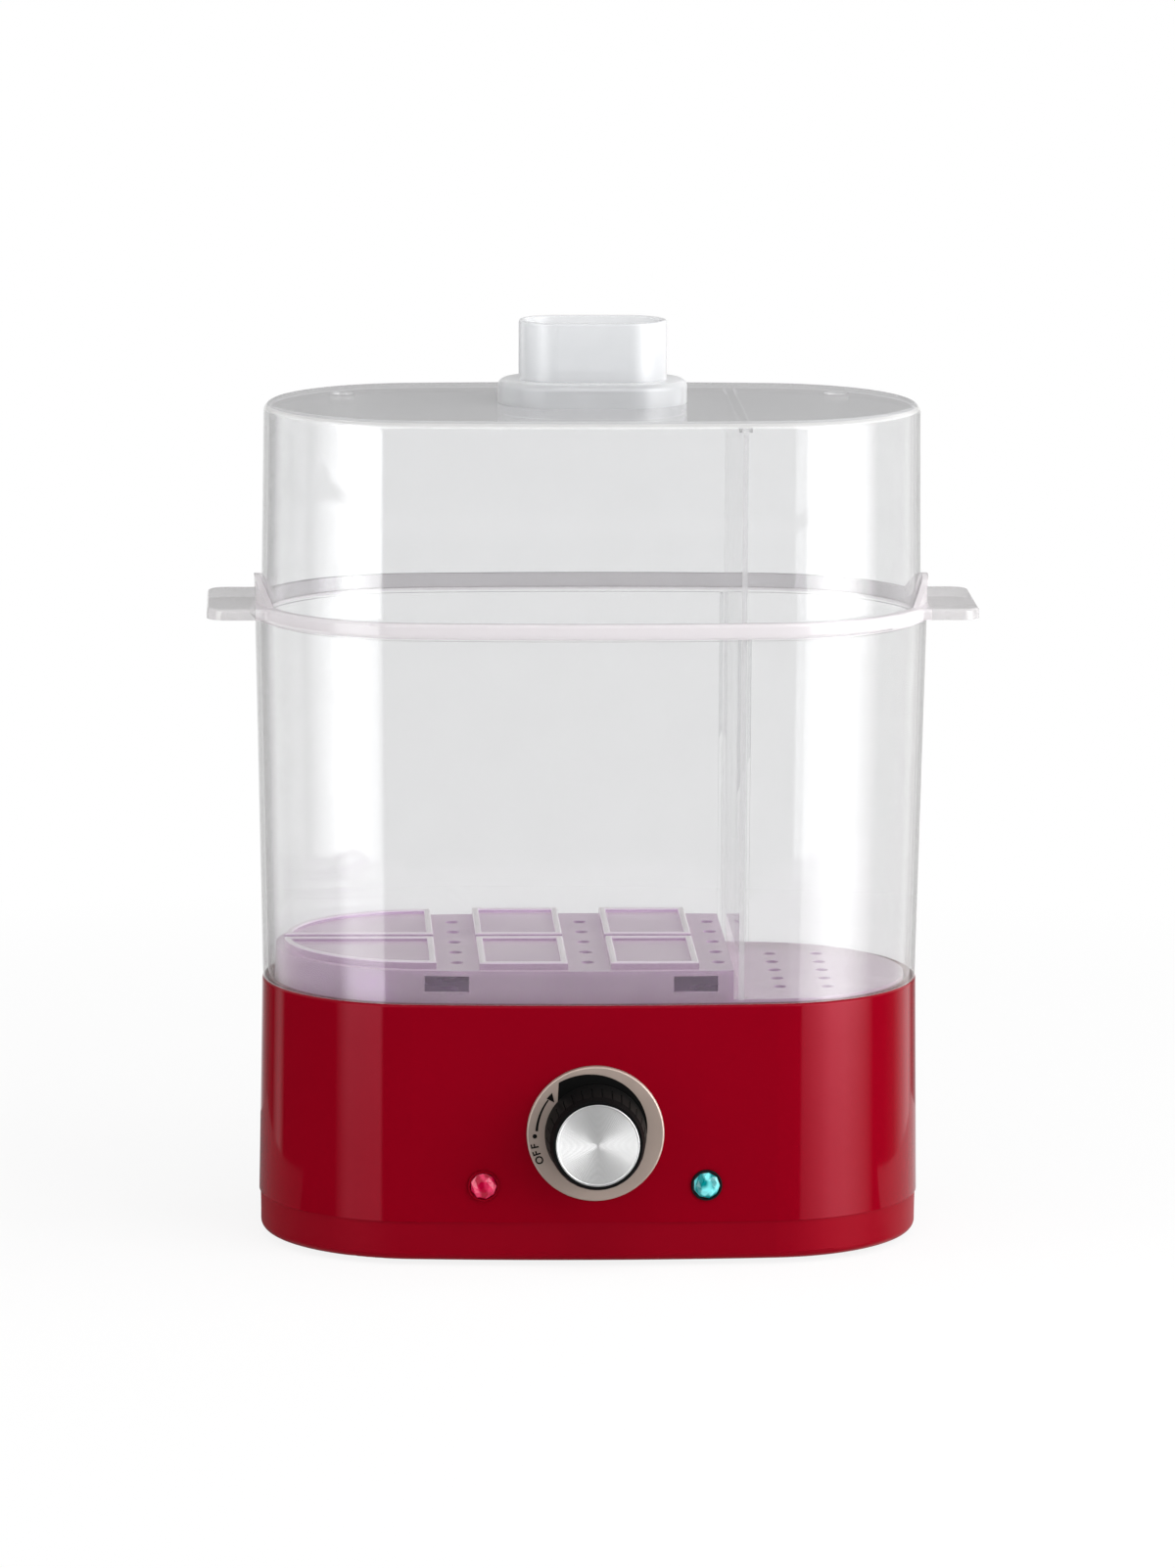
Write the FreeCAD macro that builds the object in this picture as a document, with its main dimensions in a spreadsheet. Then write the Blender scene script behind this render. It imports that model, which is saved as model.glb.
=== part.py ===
"""Electric hot dog steamer: a red heated base with a timer dial, and a clear two-part steam chamber.

Millimetres. +Z is up, the dial faces -Y, and the origin is on the table under the middle of the base.
The stack from the table up is base, steam tray, steam container, divider, lid. Every horizontal outline
is one four-arc oval, moved in or out by an inset, so that walls, flanges and seats stay parallel.
"""
import FreeCAD, Part
import math
import os
import re
import Sketcher

Vector = FreeCAD.Vector
doc = FreeCAD.newDocument("HotDogSteamer")
sheet = doc.addObject("Spreadsheet::Sheet", "Dims")

DIMENSIONS = {
    # the master oval, measured where the housing is widest, just above its seam
    "PlanHalfWidth": 125.2, "PlanHalfDepth": 64.2, "PlanEndRadius": 61.7,
    # heights of the stack above the table
    "FootHeight": 2.0, "SeamLevel": 17.0, "DeckLevel": 94.5, "BaseTop": 99.5,
    "ContainerTop": 243.5, "LidFoot": 238.5, "LidTop": 318.0, "FlangeTop": 326.7, "KnobTop": 349.0,
    # fits: clearance between mouldings, a glued or pressed fit, and how far a cut runs past a face
    "FitGap": 0.3, "PressGap": 0.05, "Overcut": 5.0,
    # base housing and bottom cover
    "HousingWall": 2.5, "HousingDraft": 1.2, "HousingEdge": 1.2, "DeckThickness": 2.5,
    "RecessInset": 5.2, "DeckOpeningInset": 15.0, "DeckFlangeInset": 8.5,
    "SeamStep": 0.5, "CoverDraft": 0.2, "CoverEdge": 3.0,
    "CoverLipHeight": 3.5, "CoverLipThickness": 1.6, "SocketDepth": 1.4,
    "PostAcross": 88.0, "PostAlong": 47.0, "PostRadius": 4.0, "PostFoot": 8.0, "PostPilot": 12.0,
    "WellRadius": 4.4, "WellWall": 1.4, "WellSeat": 1.6,
    "FootAcross": 72.0, "FootAlong": 42.0, "FootRadius": 7.0, "FootEdge": 0.6,
    "VentLength": 26.0, "VentWidth": 3.2, "VentPitch": 9.0, "VentCount": 7, "VentMiddle": 17.0,
    # thread-forming screws for plastic, 3 mm
    "PilotRadius": 1.6, "ShankRadius": 1.55, "HeadRadius": 3.5, "HeadHeight": 2.2, "HeadEdge": 0.5,
    "SmallHeadRadius": 2.9, "SmallHeadHeight": 1.6, "BaseScrewLength": 12.0, "ClipScrewLength": 7.0,
    "TimerScrewLength": 8.0,
    # heated water pan and what hangs under it
    "PanFlangeInset": 10.0, "PanMouthInset": 16.0, "PanFloorInset": 20.0, "PanFloor": 76.0,
    "PanWall": 1.0, "PanEdge": 5.0, "GasketThickness": 1.5, "GasketInset": 10.5, "GasketOpening": 14.8,
    "HeatPlateInset": 30.0, "HeatPlateThickness": 4.0,
    "TubeRadius": 3.3, "TubeReach": 60.0, "TubeSpread": 26.0, "TubeLevel": 72.0, "PinLength": 7.0,
    "ClipAcross": 45.0, "ClipWidth": 10.0, "ClipSheet": 1.2, "ClipBoss": 86.0, "ClipBossRadius": 3.5,
    "ClipScrewBack": 55.2, "ClipTip": 58.0, "ClipWall": 50.4, "ClipFoot": 36.5,
    "ThermostatRadius": 8.0, "ThermostatHeight": 9.0, "ThermostatFlange": 11.0, "FlangeSheet": 1.2,
    "BladeThickness": 0.8, "SmallBladeWidth": 4.8, "SmallBladeLength": 6.0, "SmallBladeAcross": 5.0,
    "FusePlace": 36.0, "FuseRadius": 2.5, "FuseLength": 16.0, "LeadRadius": 0.6, "LeadLength": 28.0,
    "StrapWidth": 6.0, "StrapSheet": 1.0, "StrapReach": 8.0, "StrapArch": 3.4,
    # front panel: dial plate, indicator lamps
    "DialHeight": 51.2, "DialRadius": 25.7, "DialThickness": 2.0, "DialEdge": 0.7, "DialSeat": 63.2,
    "LampAcross": 41.7, "LampHeight": 31.1, "LampRadius": 5.05, "LampShoulder": 1.1, "LampDome": 3.1,
    "LampSeat": 62.6, "LampStem": 4.5, "LampStemLength": 4.6,
    "BezelRadius": 5.8, "BezelHeight": 1.4, "BezelEdge": 0.35, "SleeveWall": 1.6, "SleeveLength": 11.0,
    "BulbLength": 9.0, "BulbTip": 1.5,
    # cord inlet and terminal block
    "CordAcross": -30.0, "CordHeight": 30.0, "CordSeat": 62.4, "CordInner": 60.0, "CordBore": 3.6,
    "GrommetNeck": 6.0, "GrommetFlange": 8.6, "GrommetProud": 3.0, "GrommetLip": 7.6,
    "GrommetLipDepth": 2.0, "GrommetCorner": 1.8, "GrommetEdge": 1.0,
    "BlockMiddle": -69.0, "BlockBack": 26.0, "BlockWidth": 30.0, "BlockDepth": 16.0, "BlockHeight": 13.0,
    "BlockPitch": 10.0, "BlockWayRadius": 2.0, "BlockWayRise": 6.0, "BlockScrewRadius": 2.2,
    # clockwork timer
    "TimerFront": 59.0, "TimerBack": 35.0, "TimerSize": 40.0, "TimerCorner": 3.0, "TimerScrewSpan": 28.0,
    "TimerHeadDepth": 1.7, "TimerWebMargin": 1.0, "BushRadius": 5.0, "BladeWidth": 6.3, "BladeLength": 8.0,
    "BladePitch": 9.0, "BladeDrop": 15.0,
    "BellRise": 1.0, "BellPost": 2.5, "BellFloor": 12.0, "BellMouth": 15.6, "BellDepth": 7.0,
    "BellSheet": 1.2,
    "ShaftRadius": 3.0, "ShaftBack": 9.5, "ShaftFront": 20.0, "ShaftFlatLength": 11.0, "ShaftFlat": 1.6,
    # knob
    "KnobFoot": 19.0, "KnobNose": 17.0, "KnobProud": 20.5, "KnobGap": 0.6, "KnobSkirt": 1.2,
    "KnobShoulder": 4.0, "KnobWall": 2.5, "HubRadius": 5.6, "HubFoot": 8.4, "HubRoof": 17.0,
    "FluteCount": 30, "FluteDepth": 0.8, "FluteHalfWidth": 1.2, "FluteLength": 15.5,
    "CapRadius": 15.5, "CapThickness": 1.0,
    # steam tray
    "TrayFootInset": 5.6, "TrayTopInset": 6.4, "TrayFloor": 111.5, "TrayLowFloor": 100.5, "TrayWall": 2.0,
    "PadTop": 114.5, "PadPitch": 49.0, "PadWidth": 33.0, "PadMiddle": -26.7, "PadInset": 9.5,
    "PadGap": 5.5, "PadRim": 2.6, "PadDish": 1.5, "PadEdge": 0.9, "PadRoot": 0.5,
    "TraySlotWidth": 16.5, "TraySlotFoot": 103.3, "TraySlotHeight": 6.2,
    "TraySlotLeft": -55.4, "TraySlotRight": 37.5,
    "SteamHoleRadius": 2.5, "BunHolePitch": 20.0, "SausageHolePitch": 16.0, "SausageHoleStart": 16.0,
    "SausageHoleStep": 18.0, "SteamHoleRows": 5,
    # steam container
    "ContainerWall": 2.0, "ContainerFootInset": 1.5, "RimFlare": 1.5, "BandReach": 3.65, "BandHeight": 5.5,
    "BandEdge": 1.2, "HandleReach": 144.5, "HandleHalfLength": 29.5, "HandleThickness": 4.0,
    "HandleCorner": 7.0, "HandleRoot": 3.0, "HandleEdge": 1.2,
    "EarHeight": 9.3, "EarHalfLength": 25.0, "EarClip": 60.0, "EarRoot": 0.5, "EarFlare": 0.2,
    "LedgeWidth": 1.9, "LedgeHeight": 2.0,
    # divider and its guides
    "DividerPlace": 54.4, "DividerThickness": 2.0, "DividerHalfDepth": 58.0, "DividerCorner": 3.0,
    "DividerTopGap": 0.8, "GuideWidth": 1.2, "GuideOverlap": 1.5, "GuideInset": 3.4, "RibHeight": 2.5,
    # lid and its knob
    "LidWall": 2.0, "LidFootInset": 0.95, "LidTopInset": 1.95, "LidEdge": 3.5,
    "VentHoleAcross": 93.5, "VentHoleBack": 25.0, "VentHoleRadius": 4.8,
    "LidKnobWidth": 55.5, "LidKnobDepth": 29.0, "FlangeWidth": 71.0, "FlangeDepth": 44.5,
    "FlangeEdge": 2.5, "LidKnobWall": 2.2, "LidKnobEdge": 0.8,
    "PegAcross": 20.0, "PegRadius": 3.0, "PegGap": 0.2, "PegSpread": 1.2, "PegEnd": 1.0, "PegHead": 1.4,
}
for row, (alias, size) in enumerate(DIMENSIONS.items(), start=1):
    sheet.set("A%d" % row, alias)
    sheet.set("B%d" % row, str(size))
    sheet.setAlias("B%d" % row, alias)
doc.recompute()

# how the master oval's arcs follow from its half width, half depth and end radius
END_CENTRE = "(PlanHalfWidth - PlanEndRadius)"
SIDE_RADIUS = ("((" + END_CENTRE + "^2 + PlanHalfDepth^2 - PlanEndRadius^2)"
               " / (2 * (PlanHalfDepth - PlanEndRadius)))")


def full(expression):
    """An expression in the sheet's words, with each word made a reference to its cell."""
    return re.sub(r"\b([A-Z]\w+)\b", r"Dims.\1", str(expression))


def num(expression):
    """The present value of an expression in the sheet's words."""
    return float(doc.getObject("Dims").evalExpression(full(expression)))


def new_body(name):
    body = doc.addObject("PartDesign::Body", name)
    body.Label = name
    return body


def place(item, across="0", back="0", up="0", facing_front=False):
    """Put a sub-part at its place; facing_front turns its own +Z towards the front of the appliance."""
    turn = FreeCAD.Rotation(Vector(1, 0, 0), 90 if facing_front else 0)
    item.Placement = FreeCAD.Placement(Vector(0, 0, 0), turn)
    for axis, expression in zip("xyz", (across, back, up)):
        item.setExpression(".Placement.Base." + axis, full(expression))


class Sketch:
    """A sketch on one of its body's own planes, with every size bound to the sheet."""

    def __init__(self, body, name, plane="XY_Plane", level="0"):
        self.item = body.newObject("Sketcher::SketchObject", name)
        support = [f for f in body.Origin.OriginFeatures if f.Role == plane][0]
        self.item.AttachmentSupport = [(support, "")]
        self.item.MapMode = "FlatFace"
        self.item.setExpression(".AttachmentOffset.Base.z", full(level))
        self.count = 0

    def size(self, kind, *where, to):
        """Add a driving constraint and bind it to an expression."""
        index = self.item.addConstraint(Sketcher.Constraint(kind, *where, num(to)))
        self.count += 1
        label = "size_%d" % self.count
        self.item.renameConstraint(index, label)
        self.item.setExpression("Constraints." + label, full(to))

    def pin(self, shape, end, x, y):
        """Hold a point of a shape at a place."""
        self.size("DistanceX", -1, 1, shape, end, to=x)
        self.size("DistanceY", -1, 1, shape, end, to=y)

    def circle(self, x, y, radius):
        centre = Vector(num(x), num(y), 0)
        shape = self.item.addGeometry(Part.Circle(centre, Vector(0, 0, 1), num(radius)))
        self.size("Radius", shape, to=radius)
        self.pin(shape, 3, x, y)
        return self

    def four_circles(self, x, y, radius):
        for across in (x, "-(%s)" % x):
            for along in (y, "-(%s)" % y):
                self.circle(across, along, radius)
        return self

    def polygon(self, corners):
        points = [Vector(num(x), num(y), 0) for x, y in corners]
        first = self.item.GeometryCount
        for here, there in zip(points, points[1:] + points[:1]):
            self.item.addGeometry(Part.LineSegment(here, there))
        for step, (x, y) in enumerate(corners):
            before = first + (step - 1) % len(corners)
            self.item.addConstraint(Sketcher.Constraint("Coincident", before, 2, first + step, 1))
            self.pin(first + step, 1, x, y)
        return self

    def rectangle(self, x0, y0, x1, y1):
        return self.polygon([(x0, y0), (x1, y0), (x1, y1), (x0, y1)])

    def blunt_square(self, x, y, half, corner):
        """A square centred on x and y, with its four corners cut off."""
        far, near = "(%s)" % half, "((%s) - (%s))" % (half, corner)
        ring = [(near, "-" + far), (far, "-" + near), (far, near), (near, far),
                ("-" + near, far), ("-" + far, near), ("-" + far, "-" + near), ("-" + near, "-" + far)]
        return self.polygon([("(%s) + (%s)" % (x, a), "(%s) + (%s)" % (y, b)) for a, b in ring])

    def slot(self, x, y, length, width):
        """A slot along x with round ends, centred on x and y."""
        half = "((%s) - (%s)) / 2" % (length, width)
        centre, radius, reach = Vector(num(x), num(y), 0), num(width) / 2, num(half)
        up, over = Vector(0, radius, 0), Vector(reach, 0, 0)
        first = self.item.GeometryCount
        axis = Vector(0, 0, 1)
        right = Part.ArcOfCircle(Part.Circle(centre + over, axis, radius), -math.pi / 2, math.pi / 2)
        left = Part.ArcOfCircle(Part.Circle(centre - over, axis, radius), math.pi / 2, 3 * math.pi / 2)
        self.item.addGeometry(right)
        self.item.addGeometry(Part.LineSegment(centre + over + up, centre - over + up))
        self.item.addGeometry(left)
        self.item.addGeometry(Part.LineSegment(centre - over - up, centre + over - up))
        for a, b in ((0, 1), (1, 2), (2, 3), (3, 0)):
            self.item.addConstraint(Sketcher.Constraint("Tangent", first + a, 2, first + b, 1))
        self.size("Radius", first, to="(%s) / 2" % width)
        self.pin(first, 3, "(%s) + %s" % (x, half), y)
        self.pin(first + 2, 3, "(%s) - %s" % (x, half), y)
        return self

    def oval(self, inset="0"):
        """The appliance's four-arc oval, moved inwards by an inset."""
        end, drop, small, large, lean = oval_arcs(inset)
        first = self.item.GeometryCount
        turn = math.pi
        self.arc(end, 0, small, -lean, lean)
        self.arc(0, -drop, large, lean, turn - lean)
        self.arc(-end, 0, small, turn - lean, turn + lean)
        self.arc(0, drop, large, turn + lean, 2 * turn - lean)
        for step in range(4):
            follow = first + (step + 1) % 4
            self.item.addConstraint(Sketcher.Constraint("Tangent", first + step, 2, follow, 1))
        for shape, on_axis in ((0, -1), (1, -2), (2, -1)):
            self.item.addConstraint(
                Sketcher.Constraint("PointOnObject", first + shape, 3, on_axis))
        self.item.addConstraint(Sketcher.Constraint("Equal", first + 1, first + 3))
        self.size("Radius", first, to="PlanEndRadius - (%s)" % inset)
        self.size("Radius", first + 1, to=SIDE_RADIUS + " - (%s)" % inset)
        self.size("DistanceX", -1, 1, first, 3, to=END_CENTRE)
        self.size("DistanceX", first + 2, 3, -1, 1, to=END_CENTRE)
        return self

    def oval_left_of(self, inset, cut):
        """The part of the oval to the left of a straight cut across it; the cut meets the long arcs."""
        end, drop, small, large, lean = oval_arcs(inset)
        cut_at = num(cut)
        at_cut = math.acos(cut_at / large)
        first = self.item.GeometryCount
        turn = math.pi
        self.arc(0, -drop, large, at_cut, turn - lean)
        self.arc(-end, 0, small, turn - lean, turn + lean)
        self.arc(0, drop, large, turn + lean, 2 * turn - at_cut)
        corner = large * math.sin(at_cut) - drop
        self.item.addGeometry(Part.LineSegment(Vector(cut_at, -corner, 0), Vector(cut_at, corner, 0)))
        for kind, a, b in (("Tangent", 0, 1), ("Tangent", 1, 2), ("Coincident", 2, 3), ("Coincident", 3, 0)):
            self.item.addConstraint(Sketcher.Constraint(kind, first + a, 2, first + b, 1))
        for shape, on_axis in ((0, -2), (1, -1), (2, -2)):
            self.item.addConstraint(
                Sketcher.Constraint("PointOnObject", first + shape, 3, on_axis))
        self.item.addConstraint(Sketcher.Constraint("Equal", first, first + 2))
        self.size("Radius", first + 1, to="PlanEndRadius - (%s)" % inset)
        self.size("Radius", first, to=SIDE_RADIUS + " - (%s)" % inset)
        self.size("DistanceX", -1, 1, first + 1, 3, to="-" + END_CENTRE)
        self.size("DistanceX", -1, 1, first + 3, 1, to=cut)
        self.size("DistanceX", -1, 1, first + 3, 2, to=cut)
        return self

    def arc(self, x, y, radius, start, stop):
        circle = Part.Circle(Vector(x, y, 0), Vector(0, 0, 1), radius)
        self.item.addGeometry(Part.ArcOfCircle(circle, start, stop))


def oval_arcs(inset):
    """End centre, side centre's drop, both radii after the inset, and the angle where the arcs join."""
    end, side = num(END_CENTRE), num(SIDE_RADIUS)
    drop = side - num("PlanHalfDepth")
    return end, drop, num("PlanEndRadius") - num(inset), side - num(inset), math.atan2(drop, end)


def volume(body):
    return body.Tip.Shape.Volume if body.Tip else 0.0


def settle(body, feature, before, removes=False):
    """Rebuild, and see that the feature really added or removed material."""
    body.Tip = feature
    doc.recompute()
    gain = feature.Shape.Volume - before
    if gain * (-1 if removes else 1) < 1e-6:
        raise ValueError("%s.%s changed the volume by %.3f" % (body.Name, feature.Name, gain))
    return feature


def pad(body, sketch, length, name, down=False):
    before = volume(body)
    feature = body.newObject("PartDesign::Pad", name)
    feature.Profile = sketch.item
    feature.setExpression("Length", full(length))
    feature.Reversed = down
    return settle(body, feature, before)


def pocket(body, sketch, length, name, up=False):
    before = volume(body)
    feature = body.newObject("PartDesign::Pocket", name)
    feature.Profile = sketch.item
    feature.setExpression("Length", full(length))
    feature.Reversed = up
    return settle(body, feature, before, removes=True)


def oval_wall(body, name, foot, foot_inset, top, top_inset, removes=False):
    """A drafted oval block, or hollow, whose inset runs evenly from its foot to its top."""
    before = volume(body)
    plan = Sketch(body, name + "_plan", level=foot).oval(foot_inset)
    feature = body.newObject("PartDesign::" + ("Pocket" if removes else "Pad"), name)
    feature.Profile = plan.item
    feature.Reversed = removes
    feature.setExpression("Length", full("(%s) - (%s)" % (top, foot)))
    lean = "((%s) - (%s)) / ((%s) - (%s))" % (top_inset, foot_inset, top, foot)
    feature.setExpression("TaperAngle", full("-atan(%s)" % lean))
    return settle(body, feature, before, removes)


def revolve(body, sketch, name):
    """A full turn about the sketch's own upright axis."""
    before = volume(body)
    feature = body.newObject("PartDesign::Revolution", name)
    feature.Profile = sketch.item
    feature.ReferenceAxis = (sketch.item, ["V_Axis"])
    feature.Angle = 360
    return settle(body, feature, before)


def round_edges(body, radius, test, name):
    """Fillet the edges of the present shape whose middle point passes a test."""
    base = body.Tip
    chosen = []
    for index, edge in enumerate(base.Shape.Edges, start=1):
        middle = edge.valueAt((edge.FirstParameter + edge.LastParameter) / 2)
        if test(middle, edge):
            chosen.append("Edge%d" % index)
    if not chosen:
        raise ValueError("%s.%s found no edges" % (body.Name, name))
    feature = body.newObject("PartDesign::Fillet", name)
    feature.Base = (base, chosen)
    feature.setExpression("Radius", full(radius))
    body.Tip = feature
    doc.recompute()
    return feature


def hollow(body, name, foot, foot_inset, top, top_inset, radius, rounded_level):
    """Take out a drafted oval core whose closed end is rounded."""
    core = new_body(name + "_core")
    oval_wall(core, name + "_shape", foot, foot_inset, top, top_inset)
    round_edges(core, radius, at_level(rounded_level), name + "_edge")
    before = volume(body)
    feature = body.newObject("PartDesign::Boolean", name)
    feature.Type = "Cut"
    feature.setObjects([core])
    return settle(body, feature, before, removes=True)


def at_level(expression, tolerance=0.05):
    """A test for edges that lie level at a height."""
    level = num(expression)

    def test(middle, edge):
        box = edge.BoundBox
        return abs(middle.z - level) < tolerance and box.ZLength < tolerance

    return test


# ---------------------------------------------------------------- base housing
def base_housing():
    """Red shell: a drafted oval wall with a thick rim, seats for dial and lamps, and the cord's hole."""
    body = new_body("base_housing")
    oval_wall(body, "outer", "SeamLevel", "0", "BaseTop", "HousingDraft")
    round_edges(body, "HousingEdge", at_level("BaseTop"), "top_edge")
    rim_foot = "DeckLevel - DeckThickness"
    oval_wall(body, "inside", "SeamLevel", "HousingWall",
              rim_foot, "HousingWall + HousingDraft", removes=True)
    mouth = Sketch(body, "mouth_plan", level="BaseTop").oval("RecessInset")
    pocket(body, mouth, "BaseTop - (%s)" % rim_foot, "mouth")
    web = Sketch(body, "timer_web_plan", plane="XZ_Plane", level="TimerFront")
    web.circle("0", "DialHeight", "DialRadius + TimerWebMargin")
    pad(body, web, "DialSeat - TimerFront - PadRoot", "timer_web")
    seats = Sketch(body, "dial_seat_plan", plane="XZ_Plane", level="DialSeat")
    seats.circle("0", "DialHeight", "DialRadius + FitGap / 2")
    pocket(body, seats, "Overcut", "dial_seat", up=True)
    lamp_seats = Sketch(body, "lamp_seat_plan", plane="XZ_Plane", level="LampSeat")
    lamp_seats.circle("LampAcross", "LampHeight", "BezelRadius + FitGap / 3")
    lamp_seats.circle("-LampAcross", "LampHeight", "BezelRadius + FitGap / 3")
    pocket(body, lamp_seats, "Overcut", "lamp_seats", up=True)
    heads = Sketch(body, "timer_head_plan", plane="XZ_Plane", level="DialSeat")
    holes = Sketch(body, "front_hole_plan", plane="XZ_Plane", level="DialSeat + DialThickness")
    for side in ("TimerScrewSpan / 2", "-TimerScrewSpan / 2"):
        heads.circle(side, "DialHeight", "SmallHeadRadius + FitGap")
        holes.circle(side, "DialHeight", "PilotRadius + FitGap / 3")
    pocket(body, heads, "TimerHeadDepth", "timer_heads")
    holes.circle("0", "DialHeight", "BushRadius + FitGap / 3")
    holes.circle("LampAcross", "LampHeight", "LampStem + FitGap / 3")
    holes.circle("-LampAcross", "LampHeight", "LampStem + FitGap / 3")
    pocket(body, holes, "2 * Overcut", "front_holes")
    flat = Sketch(body, "cord_seat_plan", plane="XZ_Plane", level="-CordSeat")
    flat.blunt_square("CordAcross", "CordHeight", "GrommetFlange + FitGap", "GrommetCorner")
    pocket(body, flat, "Overcut", "cord_seat")
    cord = Sketch(body, "cord_hole_plan", plane="XZ_Plane", level="-PlanHalfDepth - HousingWall")
    cord.blunt_square("CordAcross", "CordHeight", "GrommetNeck", "GrommetCorner")
    pocket(body, cord, "2 * Overcut", "cord_hole", up=True)
    return body


def deck_frame():
    """Heat-resistant frame under the rim: a stepped oval ring that carries the pan, with posts and bosses."""
    body = new_body("deck_frame")
    step = "(DeckLevel - DeckThickness)"
    deck = Sketch(body, "deck_plan", level=step).oval("RecessInset + FitGap").oval("DeckOpeningInset")
    pad(body, deck, "DeckThickness", "deck")
    flange = Sketch(body, "flange_plan", level=step + " - DeckThickness")
    flange.oval("HousingWall + HousingDraft + FitGap").oval("DeckFlangeInset")
    pad(body, flange, "DeckThickness", "flange")
    posts = Sketch(body, "post_plan", level="PostFoot").four_circles("PostAcross", "PostAlong", "PostRadius")
    pad(body, posts, step + " - PostFoot", "posts")
    bosses = Sketch(body, "clip_boss_plan", level="ClipBoss")
    bosses.four_circles("ClipAcross", "ClipScrewBack", "ClipBossRadius")
    pad(body, bosses, step + " - ClipBoss", "clip_bosses")
    pilots = Sketch(body, "pilot_plan", level="PostFoot")
    pilots.four_circles("PostAcross", "PostAlong", "PilotRadius")
    pocket(body, pilots, "PostPilot", "post_pilots", up=True)
    pilots = Sketch(body, "clip_pilot_plan", level="ClipBoss")
    pilots.four_circles("ClipAcross", "ClipScrewBack", "PilotRadius")
    pocket(body, pilots, "ClipScrewLength", "clip_pilots", up=True)
    return body


# ---------------------------------------------------------------- bottom cover and what it carries
def bottom_cover():
    """Red tray under the housing: drafted plinth, locating lip, screw wells, foot sockets, air slots."""
    body = new_body("bottom_cover")
    oval_wall(body, "plinth", "FootHeight", "SeamStep + CoverDraft", "SeamLevel", "SeamStep")
    round_edges(body, "CoverEdge", at_level("FootHeight"), "bottom_edge")
    floor = "FootHeight + HousingWall"
    pocket(body, Sketch(body, "inside_plan", level=floor).oval("SeamStep + HousingWall + FitGap"),
           "SeamLevel - FootHeight - HousingWall", "inside", up=True)
    lip = Sketch(body, "lip_plan", level=floor)
    lip.oval("HousingWall + FitGap").oval("HousingWall + FitGap + CoverLipThickness")
    pad(body, lip, "SeamLevel + CoverLipHeight - (%s)" % floor, "lip")
    wells = Sketch(body, "well_plan", level=floor)
    wells.four_circles("PostAcross", "PostAlong", "WellRadius + WellWall")
    pad(body, wells, "PostFoot - (%s)" % floor, "wells")
    bores = Sketch(body, "well_bore_plan", level="FootHeight")
    bores.four_circles("PostAcross", "PostAlong", "WellRadius")
    pocket(body, bores, "PostFoot - WellSeat - FootHeight", "well_bores", up=True)
    ways = Sketch(body, "screw_way_plan", level="FootHeight")
    ways.four_circles("PostAcross", "PostAlong", "PilotRadius + FitGap / 2")
    pocket(body, ways, "PostFoot", "screw_ways", up=True)
    sockets = Sketch(body, "socket_plan", level="FootHeight")
    sockets.four_circles("FootAcross", "FootAlong", "FootRadius + FitGap")
    pocket(body, sockets, "SocketDepth", "foot_sockets", up=True)
    vents = Sketch(body, "vent_plan", level="FootHeight")
    for step in range(int(num("VentCount"))):
        along = "%d * VentPitch - (VentCount - 1) / 2 * VentPitch" % step
        vents.slot("VentMiddle", along, "VentLength", "VentWidth")
        vents.slot("-VentMiddle", along, "VentLength", "VentWidth")
    pocket(body, vents, "Overcut", "air_slots", up=True)
    return body


def rubber_feet():
    body = new_body("rubber_feet")
    plan = Sketch(body, "foot_plan").four_circles("FootAcross", "FootAlong", "FootRadius")
    pad(body, plan, "FootHeight + SocketDepth", "feet")
    round_edges(body, "FootEdge", at_level("0"), "foot_edges")
    return body


def screws(name, across, along, head_level, shank_length, head_radius="HeadRadius", head_height="HeadHeight"):
    """Four upright screws driven from below: heads under a seat, shanks above it."""
    body = new_body(name)
    shanks = Sketch(body, "shank_plan", level=head_level).four_circles(across, along, "ShankRadius")
    pad(body, shanks, shank_length, "shanks")
    heads = Sketch(body, "head_plan", level=head_level).four_circles(across, along, head_radius)
    pad(body, heads, head_height, "heads", down=True)
    round_edges(body, "HeadEdge", at_level("(%s) - (%s)" % (head_level, head_height)), "head_edges")
    return body


# ---------------------------------------------------------------- water pan and heater
PAN_TOP = "DeckLevel + GasketThickness + PanWall"


def reservoir_pan():
    """Pressed metal pan: a drafted oval bowl with a level flange."""
    body = new_body("reservoir_pan")
    oval_wall(body, "bowl", "PanFloor", "PanFloorInset", PAN_TOP, "PanMouthInset")
    round_edges(body, "PanEdge", at_level("PanFloor"), "bowl_edge")
    flange = Sketch(body, "flange_plan", level="DeckLevel + GasketThickness").oval("PanFlangeInset")
    pad(body, flange, "PanWall", "flange")
    hollow(body, "pan_inside", "PanFloor + PanWall", "PanFloorInset + PanWall",
           PAN_TOP, "PanMouthInset + PanWall", "PanEdge - PanWall", "PanFloor + PanWall")
    return body


def pan_gasket():
    body = new_body("pan_gasket")
    plan = Sketch(body, "ring_plan", level="DeckLevel")
    plan.oval("GasketInset").oval("GasketOpening")
    pad(body, plan, "GasketThickness", "ring")
    return body


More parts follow.
